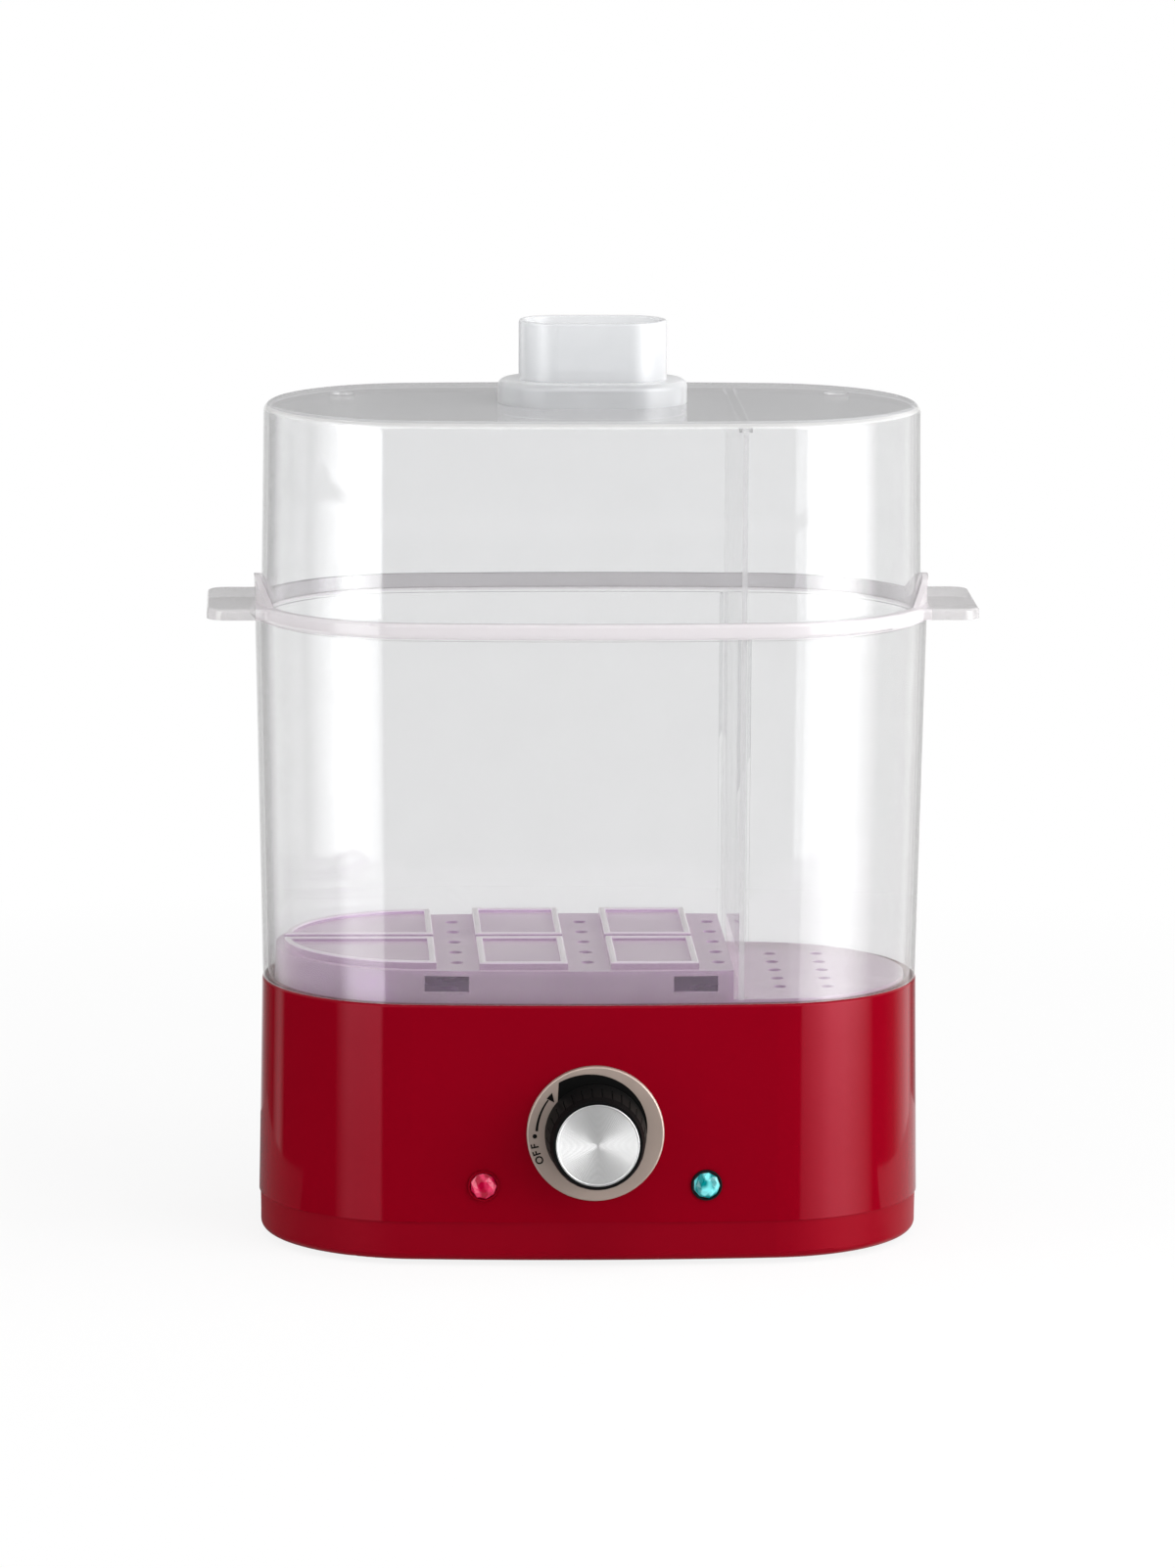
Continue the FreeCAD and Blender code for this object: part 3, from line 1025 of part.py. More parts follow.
def lid_knob():
    """Frosted grip: an open cup with round ends on a hollow flange, held by two pegs spread under the lid."""
    body = new_body("lid_knob")
    foot = Sketch(body, "flange_plan", level="LidTop").slot("0", "0", "FlangeWidth", "FlangeDepth")
    pad(body, foot, "FlangeTop - LidTop", "flange")
    round_edges(body, "FlangeEdge", at_level("FlangeTop"), "flange_edge")
    cup = Sketch(body, "cup_plan", level="FlangeTop - 1").slot("0", "0", "LidKnobWidth", "LidKnobDepth")
    pad(body, cup, "KnobTop - FlangeTop + 1", "cup")
    low = Sketch(body, "flange_hollow_plan", level="LidTop")
    low.slot("0", "0", "FlangeWidth - 2 * LidKnobWall", "FlangeDepth - 2 * LidKnobWall")
    pocket(body, low, "FlangeTop - LidTop - LidKnobWall", "flange_hollow", up=True)
    high = Sketch(body, "cup_hollow_plan", level="KnobTop")
    high.slot("0", "0", "LidKnobWidth - 2 * LidKnobWall", "LidKnobDepth - 2 * LidKnobWall")
    pocket(body, high, "KnobTop - FlangeTop + 0.2", "cup_hollow")
    round_edges(body, "LidKnobEdge", at_level("KnobTop"), "rim_edges")
    peg_foot = "(LidTop - LidWall - PegEnd)"
    pegs = Sketch(body, "peg_plan", level=peg_foot)
    for side in ("PegAcross", "-PegAcross"):
        pegs.circle(side, "0", "PegRadius")
    pad(body, pegs, "FlangeTop - LidKnobWall + PadRoot - " + peg_foot, "pegs")
    spread = Sketch(body, "spread_plan", level="LidTop - LidWall")
    for side in ("PegAcross", "-PegAcross"):
        spread.circle(side, "0", "PegRadius + PegSpread")
    pad(body, spread, "PegHead", "peg_heads", down=True)
    return body


# ---------------------------------------------------------------- build, check, write
NODES = [
    base_housing(), deck_frame(), bottom_cover(), rubber_feet(),
    screws("base_screws", "PostAcross", "PostAlong", "PostFoot - WellSeat", "BaseScrewLength"),
    reservoir_pan(), pan_gasket(), heat_plate(), heating_element(), thermostat(), thermal_fuse(), pan_clips(),
    screws("clip_screws", "ClipAcross", "ClipScrewBack", "ClipBoss - ClipSheet", "ClipScrewLength",
           "SmallHeadRadius", "SmallHeadHeight"),
    dial_plate(), timer_screws(), timer_case(), timer_bell(),
    lamp_lens("power_lamp_lens", "-LampAcross"), lamp_lens("ready_lamp_lens", "LampAcross"),
    lamp_bezels(), lamp_holders(), neon_lamps(), cord_grommet(), terminal_block(),
    timer_shaft(), timer_knob(), knob_cap(),
    steam_tray(), steam_container(), divider_panel(), steam_lid(), lid_knob(),
]
doc.recompute()
for item in doc.Objects:
    if {"Invalid", "Error"} & set(item.State):
        raise ValueError("%s did not build: %s" % (item.Name, item.State))
for node in NODES:
    if node.Shape.isNull() or not node.Shape.isValid() or not node.Shape.Solids:
        raise ValueError("%s has no sound solid" % node.Label)
os.makedirs("parts", exist_ok=True)
for node in NODES:
    node.Shape.exportStep("parts/%s.step" % node.Label)
    print("%-16s %d solid(s), %9.1f mm3" % (node.Label, len(node.Shape.Solids), node.Shape.Volume))
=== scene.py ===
import math

import bmesh
import bpy
import numpy as np
from mathutils import Matrix, Vector


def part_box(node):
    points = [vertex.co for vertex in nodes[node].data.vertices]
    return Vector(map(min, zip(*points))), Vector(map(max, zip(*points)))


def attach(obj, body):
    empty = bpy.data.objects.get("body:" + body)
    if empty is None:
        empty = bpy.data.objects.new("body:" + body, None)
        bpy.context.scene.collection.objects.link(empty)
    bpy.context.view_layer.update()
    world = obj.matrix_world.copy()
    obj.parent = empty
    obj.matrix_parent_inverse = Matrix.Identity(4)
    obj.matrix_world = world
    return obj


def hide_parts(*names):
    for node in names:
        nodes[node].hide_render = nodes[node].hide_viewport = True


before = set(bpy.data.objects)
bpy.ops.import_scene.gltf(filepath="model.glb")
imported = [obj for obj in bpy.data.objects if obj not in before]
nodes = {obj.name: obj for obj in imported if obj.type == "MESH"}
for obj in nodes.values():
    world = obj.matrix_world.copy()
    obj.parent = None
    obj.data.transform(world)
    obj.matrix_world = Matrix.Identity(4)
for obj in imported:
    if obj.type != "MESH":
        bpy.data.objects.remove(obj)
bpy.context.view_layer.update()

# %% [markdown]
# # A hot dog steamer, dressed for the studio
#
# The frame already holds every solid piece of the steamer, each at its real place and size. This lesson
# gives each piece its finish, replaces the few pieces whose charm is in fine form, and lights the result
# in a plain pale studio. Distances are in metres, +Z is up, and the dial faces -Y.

mm = 0.001

# %% [markdown]
# ## Writing shaders as sums
#
# A finish is a small formula: some pattern of position decides how rough or how dark each point is. Wiring
# that up node by node hides the formula, so a wrapped socket here answers to the signs that the formulas use,
# and each sign adds the Math node that does the work. Any other node comes from one method.

# %% A socket that can be reckoned with
class Signal:
    """A number that varies over a surface. Its operators add Math nodes to the tree that it belongs to."""

    def __init__(self, paint, socket):
        self.paint = paint
        self.socket = socket

    def math(self, operation, *others):
        return self.paint.node("ShaderNodeMath", {"operation": operation}, [self, *others])

    def __add__(self, other):
        return self.math("ADD", other)

    __radd__ = __add__

    def __mul__(self, other):
        return self.math("MULTIPLY", other)

    __rmul__ = __mul__

    def __pow__(self, other):
        return self.math("POWER", other)

    def after(self, number, operation):
        """The same with a plain number on the left, for the signs whose sides can't change places."""
        return self.paint.node("ShaderNodeMath", {"operation": operation}, [number, self])

    def __rsub__(self, number):
        return self.after(number, "SUBTRACT")

    def __rpow__(self, number):
        return self.after(number, "POWER")

    def __rtruediv__(self, number):
        return self.after(number, "DIVIDE")

    def above(self, level):
        """1 where the number is over a level, and 0 elsewhere."""
        return self.math("GREATER_THAN", level)

    def below(self, level):
        """1 where the number is under a level, and 0 elsewhere."""
        return self.math("LESS_THAN", level)

    def size(self):
        """The number without its sign."""
        return self.math("ABSOLUTE")

    def rising(self, start, end, low=0.0, high=1.0):
        """A straight climb from low to high while the number goes from start to end, level outside."""
        return self.paint.node("ShaderNodeMapRange", {}, [self, start, end, low, high])

    def clamp(self):
        return self.paint.node("ShaderNodeClamp", {}, [self])


class Paint:
    """One material and the nodes that make it."""

    def __init__(self, name):
        self.material = bpy.data.materials.new(name)
        self.material.use_nodes = True
        self.tree = self.material.node_tree
        self.tree.nodes.clear()

    def node(self, kind, settings=None, inputs=None, output=0):
        """Add a node: its settings first, then its sockets, given in order or by name, as values or signals."""
        new = self.tree.nodes.new(kind)
        for key, value in (settings or {}).items():
            setattr(new, key, value)
        pairs = inputs.items() if isinstance(inputs, dict) else enumerate(inputs or [])
        for key, value in pairs:
            if isinstance(value, Signal):
                self.tree.links.new(value.socket, new.inputs[key])
            elif value is not None:
                new.inputs[key].default_value = value
        return Signal(self, new.outputs[output]) if len(new.outputs) else None

    def place(self):
        """Each point's place on its piece, in metres."""
        return self.node("ShaderNodeTexCoord", output=3)

    def apart(self, vector):
        """The three numbers of a vector."""
        first = self.node("ShaderNodeSeparateXYZ", {}, [vector])
        outs = first.socket.node.outputs
        return [Signal(self, outs[i]) for i in range(3)]

    def stretched(self, vector, scale):
        """A place with each axis multiplied by its own number."""
        return self.node("ShaderNodeVectorMath", {"operation": "MULTIPLY"}, [vector, scale])

    def cloud(self, vector, per_metre, detail=2.0):
        """Soft random patches, from 0 to 1, so many to the metre."""
        return self.node("ShaderNodeTexNoise", {"normalize": True},
                         {"Vector": vector, "Scale": per_metre, "Detail": detail})

    def blend(self, share, first, second):
        """A colour between two colours."""
        mix = self.tree.nodes.new("ShaderNodeMix")
        mix.data_type = "RGBA"
        for socket, value in ((mix.inputs[0], share), (mix.inputs[6], first), (mix.inputs[7], second)):
            if isinstance(value, Signal):
                self.tree.links.new(value.socket, socket)
            else:
                socket.default_value = value
        return Signal(self, mix.outputs[2])

    def bumps(self, height, depth):
        """A surface normal rocked by a height pattern that is depth metres deep."""
        return self.node("ShaderNodeBump", {}, {"Strength": 1.0, "Distance": depth, "Height": height})

    def surface(self, **sockets):
        """A Principled shader; underscores in socket names stand for spaces."""
        named = {key.replace("_", " "): value for key, value in sockets.items()}
        return self.node("ShaderNodeBsdfPrincipled", {}, named)

    def finish(self, shader):
        self.node("ShaderNodeOutputMaterial", {}, [shader])
        return self.material


def tint(red, green, blue):
    """A colour with its fourth number, which is always one."""
    return (red, green, blue, 1.0)


print("shader tools ready")

# %% [markdown]
# ## The finishes
#
# The base is injection-moulded and glossy: the tool was polished, so the plastic mirrors lamps, and only a
# faint orange peel left by cooling rocks the reflections. A bump of soft patches a few millimetres wide and
# some thousandths of a millimetre deep gives that, and patches of slightly different roughness stop it from
# looking like glass.

# %% Gloss mouldings
drift_per_metre, wear_per_metre, peel_per_metre = 9.0, 60.0, 160.0
wear_rise = 0.05  # how much rougher the most worn patches are


def gloss_moulding(name, colour, deeper, roughness=0.07, peel=6e-6, specular=0.3, shine=(1, 1, 1, 1)):
    """Polished plastic: a colour with faint drifts towards a deeper one, and orange peel in the normal. shine
    is the colour of what it mirrors square on."""
    paint = Paint(name)
    place = paint.place()
    drift = paint.cloud(place, drift_per_metre)
    rough = roughness + wear_rise * paint.cloud(place, wear_per_metre, 4.0)
    skin = paint.cloud(place, peel_per_metre, 1.0)
    shader = paint.surface(Base_Color=paint.blend(drift, colour, deeper), Roughness=rough,
                           Specular_IOR_Level=specular, Specular_Tint=shine, Normal=paint.bumps(skin, peel))
    return paint.finish(shader)


deep_red, deeper_red = tint(0.208, 0.0005, 0.0072), tint(0.193, 0.0004, 0.0064)
red_shine = tint(1.0, 0.25, 0.33)
red = gloss_moulding("red_moulding", deep_red, deeper_red, 0.045, specular=0.30, shine=red_shine)
satin_red = gloss_moulding("satin_red_moulding", deep_red, deeper_red, 0.33, specular=0.12, shine=red_shine)
black = gloss_moulding("black_moulding", tint(0.004, 0.004, 0.004), tint(0.007, 0.007, 0.007), 0.3,
                       specular=0.004)
white = gloss_moulding("white_moulding", tint(0.80, 0.79, 0.74), tint(0.76, 0.75, 0.70), 0.3)
print("gloss mouldings:", red.name, satin_red.name, black.name, white.name)

# %% [markdown]
# The steam chamber is clear but never quite water-clear: light passes, a little is caught inside as a milky
# veil, and the surface mirrors the studio. A wall seen at a slant is a longer way through, so it catches more:
# if one face catches a share a seen square on, it catches 1 - (1 - a)^(1 / cosine) at a slant. The mirror's
# share follows Schlick's formula: 4% square on, rising with the fifth power of the slant, here to 84%.

# %% Clear and half-frosted plastic
least_cosine = 0.12  # keeps the way through a wall from growing without end where it is seen edge on
mirror_square_on, mirror_gain = 0.04, 0.8
# The second number is the strength of the painted glow that draws bright lines along edges.
edge_veil, painted_edge_glow = 0.4, 0.18


def clear_moulding(name, milk, veil, glass_tint, roughness=0.05, depth=8e-6, thick=None, thick_milk=None,
                   thick_veil=0.0, thick_rough=0.0, gleam=None):
    """See-through plastic. veil is the share that one face catches seen square on. thick, a function of x, y
    and z, is 1 where the moulding is denser: there it catches thick_veil more, has the colour thick_milk and is
    rougher by thick_rough. gleam is 1 at the edges that pipe light out, drawn as pale lines by a painted glow."""
    paint = Paint(name)
    place = paint.place()
    slant = paint.node("ShaderNodeLayerWeight", {}, {"Blend": 0.5}, output=1)
    flow = paint.cloud(place, 35.0, 2.0)
    normal = paint.bumps(flow, depth)
    cosine = 1.0 + least_cosine - slant
    caught = (1.0 - (1.0 - veil) ** (1.0 / cosine)) * (0.8 + 0.4 * flow)
    colour, light = milk, tint(0, 0, 0)
    if thick:
        dense = thick(*paint.apart(place))
        caught = caught + dense * thick_veil
        roughness = roughness + dense * thick_rough
        colour = paint.blend(dense, milk, thick_milk)
    # Painted highlight: at these edges an emitted glow draws pale lines, and they also catch more veil.
    if gleam:
        edge = gleam(*paint.apart(place))
        caught = caught + edge * edge_veil
        light = paint.blend(edge, light, tint(painted_edge_glow, painted_edge_glow, painted_edge_glow))
    through = paint.node("ShaderNodeBsdfTransparent", {}, [glass_tint])
    body = paint.surface(Base_Color=colour, Roughness=0.5 + 0.1 * flow, Specular_IOR_Level=0.0,
                         Emission_Color=light, Emission_Strength=1.0)
    mirror = paint.node("ShaderNodeBsdfGlossy", {}, {"Color": tint(1, 1, 1), "Roughness": roughness,
                                                     "Normal": normal})
    inside = paint.node("ShaderNodeMixShader", {}, [caught.clamp(), through, body])
    shine = (mirror_square_on + mirror_gain * slant ** 5.0).clamp()
    shader = paint.node("ShaderNodeMixShader", {}, [shine, inside, mirror])
    return paint.finish(shader)


print("clear plastic ready; its mirror's greatest share:", round(mirror_square_on + mirror_gain, 2))

# %% [markdown]
# Some places of a clear moulding catch more light than the rest: a textured top, a thick band, the ends of a
# sheet. The ends of a sheet and the lid's brim also get a painted glow, which draws them as pale highlight lines.
# Each is told by its distance from the top or the end of its own piece.

# %% Where the clear mouldings are denser
lid_top, mouth_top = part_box("steam_lid")[1][2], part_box("steam_container")[1][2]
panel_high, tray_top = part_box("divider_panel")[1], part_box("steam_tray")[1][2]
crown_depth, brim_depth, edge_depth = 0.7 * mm, 2.2 * mm, 0.6 * mm
ear_height, band_height, handle_start = 9.3 * mm, 5.5 * mm, 126.2 * mm


def lid_crown(x, y, z):
    """The lid's top face, which is textured and so catches more light than its walls."""
    return z.above(lid_top - crown_depth)


def lid_brim(x, y, z):
    """The rounding between the lid's top face and its walls, where a painted glow draws a highlight line."""
    return z.above(lid_top - brim_depth) * z.below(lid_top - crown_depth)


def sleeve_rim(x, y, z):
    """The thick band round the container's mouth, under its ears; the handles beyond the wall count half."""
    band, handle = z.above(mouth_top - ear_height - band_height - edge_depth), x.size().above(handle_start)
    return band * (1.0 - 0.5 * handle)


def panel_edges(x, y, z):
    """The divider's front, back and top ends, which gather light like any clear sheet's edge. A painted glow
    draws them as pale lines.
    """
    return (y.size().above(panel_high[1] - edge_depth) + z.above(panel_high[2] - edge_depth)).clamp()


def pad_rims(x, y, z):
    """The tray's raised rims round its pads, denser there and painted paler to draw their highlight lines."""
    return z.above(tray_top - edge_depth)


print("tops, m:", round(lid_top, 4), round(mouth_top, 4), round(tray_top, 4))

# %% The see-through finishes
clear_glass = tint(0.985, 0.987, 0.99)
lid_clear = clear_moulding("lid_moulding", tint(0.54, 0.535, 0.53), 0.07, clear_glass, thick=lid_crown,
                           thick_milk=tint(0.51, 0.51, 0.52), thick_veil=0.36, thick_rough=0.10, gleam=lid_brim)
sleeve_clear = clear_moulding("sleeve_moulding", tint(0.54, 0.53, 0.52), 0.07, clear_glass, thick=sleeve_rim,
                              thick_milk=tint(0.72, 0.68, 0.70), thick_veil=0.45)
panel_clear = clear_moulding("panel_moulding", tint(0.60, 0.59, 0.60), 0.012, tint(0.99, 0.99, 0.99),
                             gleam=panel_edges)
# Its pad rims are painted paler to draw their highlight lines.
# Painted cast: the tray's pinkish lavender stands in for the red base's light coming through clear plastic.
tray_clear = clear_moulding("tray_moulding", tint(0.86, 0.73, 0.80), 0.31, tint(0.80, 0.62, 0.85),
                            thick=pad_rims, thick_milk=tint(0.92, 0.86, 0.89), thick_veil=0.30)
frosted = clear_moulding("frosted_moulding", tint(0.72, 0.725, 0.735), 0.34, tint(0.98, 0.985, 0.99), 0.30)
print("see-through:", [m.name for m in (lid_clear, sleeve_clear, panel_clear, tray_clear, frosted)])

# %% [markdown]
# Metals next. Pressed and plated parts have a fine grain; the dial plate is satin, which spreads every
# reflection wide, so it is half way between a mirror and a matte surface. The bezels are coloured glossy rings
# in one piece of this model, so their finish asks which side of the middle it is on.

# %% Metals
def plain_metal(name, colour, dull, roughness, per_metre=400.0, depth=3e-6, stretch=(1.0, 1.0, 1.0),
                metallic=1.0):
    """Metal with a fine grain that runs along the axis with the smallest stretch."""
    paint = Paint(name)
    place = paint.stretched(paint.place(), stretch)
    grain = paint.cloud(place, per_metre, 3.0)
    shade = paint.blend(paint.cloud(place, 30.0), colour, dull)
    shader = paint.surface(Base_Color=shade, Metallic=metallic, Roughness=roughness + 0.12 * grain,
                           Normal=paint.bumps(grain, depth))
    return paint.finish(shader)


def two_sided_gloss(name, left, right):
    """Glossy plastic in one colour left of the middle and another right of it."""
    paint = Paint(name)
    place = paint.place()
    x = paint.apart(place)[0]
    wear = paint.cloud(place, 500.0)
    shader = paint.surface(Base_Color=paint.blend(x.above(0.0), left, right), Roughness=0.25 + 0.1 * wear,
                           Specular_IOR_Level=0.02, Normal=paint.bumps(wear, 4e-6))
    return paint.finish(shader)


turned = plain_metal("turned_aluminium", tint(0.88, 0.88, 0.88), tint(0.86, 0.86, 0.86), 0.27, 900.0, 1e-6)
satin = plain_metal("satin_steel", tint(0.43, 0.345, 0.30), tint(0.39, 0.315, 0.275), 0.40, 300.0, 1e-6,
                    metallic=0.6)
zinc = plain_metal("zinc_steel", tint(0.60, 0.61, 0.64), tint(0.50, 0.51, 0.50), 0.28)
# The pan's steel is tinted lavender: a painted cast of the purple tray above it.
steel_with_painted_cast = plain_metal("pressed_steel", tint(0.64, 0.59, 0.65), tint(0.56, 0.52, 0.57), 0.22, 250.0, 2e-6,
                      (0.1, 1.0, 1.0))
cast = plain_metal("cast_aluminium", tint(0.52, 0.52, 0.53), tint(0.42, 0.42, 0.43), 0.45, 900.0, 3e-5)
dark_sheath = plain_metal("dark_sheath", tint(0.13, 0.12, 0.12), tint(0.20, 0.16, 0.12), 0.42, 700.0, 8e-6)
bezel_gloss = two_sided_gloss("bezel_gloss", tint(0.19, 0.0, 0.006), tint(0.008, 0.010, 0.011))
print("metals:", turned.name, satin.name, zinc.name, steel_with_painted_cast.name, cast.name, dark_sheath.name)

# %% [markdown]
# Rubber and silicone are matte, with the fine pores of a blasted tool.

# %% Rubber
def moulded_rubber(name, colour, worn):
    """Matte rubber: pores from a fine noise, worn patches a little paler."""
    paint = Paint(name)
    place = paint.place()
    pores = paint.cloud(place, 1800.0, 3.0)
    patches = paint.cloud(place, 120.0, 3.0)
    shader = paint.surface(Base_Color=paint.blend(patches, colour, worn), Roughness=0.62 + 0.2 * pores,
                           Specular_IOR_Level=0.35, Normal=paint.bumps(pores, 2e-5))
    return paint.finish(shader)


rubber = moulded_rubber("black_rubber", tint(0.018, 0.018, 0.019), tint(0.035, 0.034, 0.033))
silicone = moulded_rubber("grey_silicone", tint(0.42, 0.42, 0.41), tint(0.50, 0.50, 0.48))
print("rubbers:", rubber.name, silicone.name)

# %% [markdown]
# The lamps' lenses are tinted clear plastic. Streaks of a brighter colour stand for what their facets show of
# the small lamp behind, and a low glow keeps them lit.

# %% Lamp plastics
def lens_plastic(name, deep, bright, glow):
    """Tinted clear lens over a small lamp: upright streaks of brighter colour where its facets bring the lamp
    to view."""
    paint = Paint(name)
    place = paint.stretched(paint.place(), (1.0, 1.0, 0.35))
    sparkle = paint.cloud(place, 420.0, 0.0)
    share = sparkle.rising(0.44, 0.66)
    colour = paint.blend(share, deep, bright)
    shader = paint.surface(Base_Color=colour, Roughness=0.04 + 0.04 * sparkle, Specular_IOR_Level=0.4,
                           Coat_Weight=0.3, Coat_Roughness=0.03, Emission_Color=colour,
                           Emission_Strength=glow)
    return paint.finish(shader)


red_lens = lens_plastic("red_lens", tint(0.30, 0.0, 0.022), tint(0.60, 0.03, 0.10), 0.22)
teal_lens = lens_plastic("teal_lens", tint(0.0, 0.18, 0.19), tint(0.16, 0.62, 0.64), 0.22)
neon = clear_moulding("lamp_glass", tint(0.9, 0.75, 0.6), 0.3, tint(0.98, 0.95, 0.9))
print("lamp plastics:", red_lens.name, teal_lens.name, neon.name)

# %% [markdown]
# ## Dressing the CAD pieces
#
# Each solid keeps its shape and gets one finish. The last line prints any that was forgotten.

# %% Each piece gets its finish
finishes = {
    red: ["base_housing", "deck_frame"],
    satin_red: ["bottom_cover"],
    black: ["timer_knob"],
    white: ["terminal_block", "lamp_holders"],
    lid_clear: ["steam_lid"],
    sleeve_clear: ["steam_container"],
    panel_clear: ["divider_panel"],
    tray_clear: ["steam_tray"],
    frosted: ["lid_knob"],
    turned: ["knob_cap"],
    satin: ["dial_plate"],
    zinc: ["base_screws", "pan_clips", "clip_screws", "timer_screws", "timer_case", "timer_shaft", "thermostat",
           "thermal_fuse", "timer_bell"],
    steel_with_painted_cast: ["reservoir_pan"],
    cast: ["heat_plate"],
    dark_sheath: ["heating_element"],
    bezel_gloss: ["lamp_bezels"],
    rubber: ["rubber_feet", "cord_grommet"],
    silicone: ["pan_gasket"],
    red_lens: ["power_lamp_lens"],
    teal_lens: ["ready_lamp_lens"],
    neon: ["neon_lamps"],
}
for finish, names in finishes.items():
    for name in names:
        piece = nodes[name]
        piece.data.materials.clear()
        piece.data.materials.append(finish)
bare = sorted(set(nodes) - {name for names in finishes.values() for name in names})
print("pieces with no finish:", bare)

# %% [markdown]
# ## Fine forms worked out with numpy
#
# Four small things need finer forms than the solids hold: the cap's turned rings, the faceted lamp lenses, and
# the dial's print. Each is a surface over two numbers, such as an angle and a distance from the middle, worked
# out for a whole grid of points at once. One helper weaves any such grid into a mesh and welds its seam.

# %% From a grid of points to a piece
def woven(name, points, finish, body, smooth=True, replaced=(), sharp=40.0):
    """A piece whose faces join each grid point to its three neighbours further on. Points that fall together,
    at a seam or a pole, are welded. It rides on a body and takes a finish."""
    rows, columns = points.shape[:2]
    number = np.arange(rows * columns).reshape(rows, columns)
    cells = [number[:-1, :-1], number[1:, :-1], number[1:, 1:], number[:-1, 1:]]
    faces = np.stack(cells, axis=-1).reshape(-1, 4)
    mesh = bpy.data.meshes.new(name)
    mesh.from_pydata(points.reshape(-1, 3).tolist(), [], faces.tolist())
    shape = bmesh.new()
    shape.from_mesh(mesh)
    bmesh.ops.remove_doubles(shape, verts=shape.verts, dist=1e-7)
    bmesh.ops.recalc_face_normals(shape, faces=shape.faces)
    shape.to_mesh(mesh)
    shape.free()
    if smooth:
        mesh.shade_smooth()
        mesh.set_sharp_from_angle(angle=math.radians(sharp))
    return dressed(bpy.data.objects.new(name, mesh), finish, body, replaced)


def dressed(piece, finish, body, replaced=()):
    """Put a piece into the scene with its finish, on its body, in place of the solids that it stands for."""
    bpy.context.scene.collection.objects.link(piece)
    piece.data.materials.append(finish)
    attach(piece, body)
    if replaced:
        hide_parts(*replaced)
    return piece


def lathe(radii, heights, centre, front, turns):
    """Points of a shape turned about the Y axis: each radius goes round the centre, each height stands out
    from the plane y = front towards -Y."""
    angle = np.linspace(0.0, 2 * np.pi, turns + 1)[:, None]
    x = centre[0] + radii * np.cos(angle)
    z = centre[1] + radii * np.sin(angle)
    return np.stack([x, np.broadcast_to(front - heights, x.shape), z], axis=-1)


plate_low, plate_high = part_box("dial_plate")
dial, plate_front = (0.0, 0.5 * (plate_low[2] + plate_high[2])), plate_low[1]
print("dial's middle:", dial, "plate's front:", round(plate_front, 4))

# %% [markdown]
# The cap is faced on a lathe: the tool leaves rings about 0.4 mm apart, and they smear every lamp into a fan of
# light. Rings in a bump map would be finer than a pixel and come out as noise, so the rings are real here: the
# face's height is a shallow bowl plus a sine of the distance from the middle.

# %% Turned cap
cap_low, cap_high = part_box("knob_cap")
cap_radius, cap_depth = cap_high[0], cap_high[1] - cap_low[1]
ring_pitch, ring_slope, bead = 0.42 * mm, math.radians(21.0), 0.7 * mm
bowl_middle, bowl_rise, bead_rise = 0.60, 0.25, 0.10
face_steps, bead_steps, cap_turns = 250, 13, 144


def turned_face(radius):
    """Height of the cap's face: a bowl, and a ring wave whose steepest slope is ring_slope. The wave fades in
    from the middle, where the tool stopped."""
    bowl = cap_depth * (bowl_middle + bowl_rise * radius / cap_radius)
    depth = math.tan(ring_slope) * ring_pitch / (2 * math.pi)
    return bowl + depth * np.sin(2 * np.pi * radius / ring_pitch) * np.clip(radius / ring_pitch, 0, 1)


face_radii = np.linspace(0.0, cap_radius - bead, face_steps)
bead_angle = np.linspace(0.0, np.pi, bead_steps)
bead_radii = cap_radius - bead / 2 - bead / 2 * np.cos(bead_angle)
bead_heights = cap_depth * (bowl_middle + bowl_rise + bead_rise * np.sin(bead_angle))
cap_radii = np.concatenate([face_radii, bead_radii, [cap_radius, 0.0]])
cap_heights = np.concatenate([turned_face(face_radii), bead_heights, [0.0, 0.0]])
cap_points = lathe(cap_radii, cap_heights, dial, cap_high[1], cap_turns)
turned_cap = woven("turned_cap", cap_points, turned, "knob", replaced=["knob_cap"])
print("turned cap:", len(turned_cap.data.polygons), "faces")

# %% [markdown]
# The lamp lenses are cut like small jewels, so that the lamp behind them shows from far to the side. Three
# rings of flat facets do it: every ring has the same number of corners, and each ring is turned by half a
# corner against the one below, which makes every cell a pair of tilted facets.

# %% Jewel lenses
def jewel(name, node, finish, corners=9):
    """Facets over a ring grid: radius and height come from the ring, and the angle is the corner's plus half a
    corner for each ring passed."""
    low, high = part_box(node)
    middle = (0.5 * (low[0] + high[0]), 0.5 * (low[2] + high[2]))
    radius, height = 0.5 * (high[0] - low[0]), high[1] - low[1]
    radii = radius * np.array([0.0, 0.88, 1.0, 1.0, 0.80, 0.45, 0.0])
    heights = height * np.array([0.0, 0.0, 0.1, 0.72, 0.86, 0.96, 1.0])
    twist = np.array([0.0, 0.0, 0.0, 0.0, 0.5, 1.0, 1.0]) * 2 * np.pi / corners
    angle = np.linspace(0.0, 2 * np.pi, corners + 1)[:, None] + twist
    points = np.stack([middle[0] + radii * np.cos(angle), np.broadcast_to(high[1] - heights, angle.shape),
                       middle[1] + radii * np.sin(angle)], axis=-1)
    return woven(name, points, finish, "base", smooth=False, replaced=[node])


jewels = [jewel("power_jewel", "power_lamp_lens", red_lens),
          jewel("ready_jewel", "ready_lamp_lens", teal_lens)]
print("jewels:", [piece.name for piece in jewels])

# %% [markdown]
# The dial's print is ink a few hundredths of a millimetre thick: a wedge that grows round the knob to show how
# long the timer runs, an arrow along an arc for the way to turn, a dot at the start, and the word OFF. Each
# mark but the word is a grid in polar coordinates about the dial's middle, angles anticlockwise from +X.

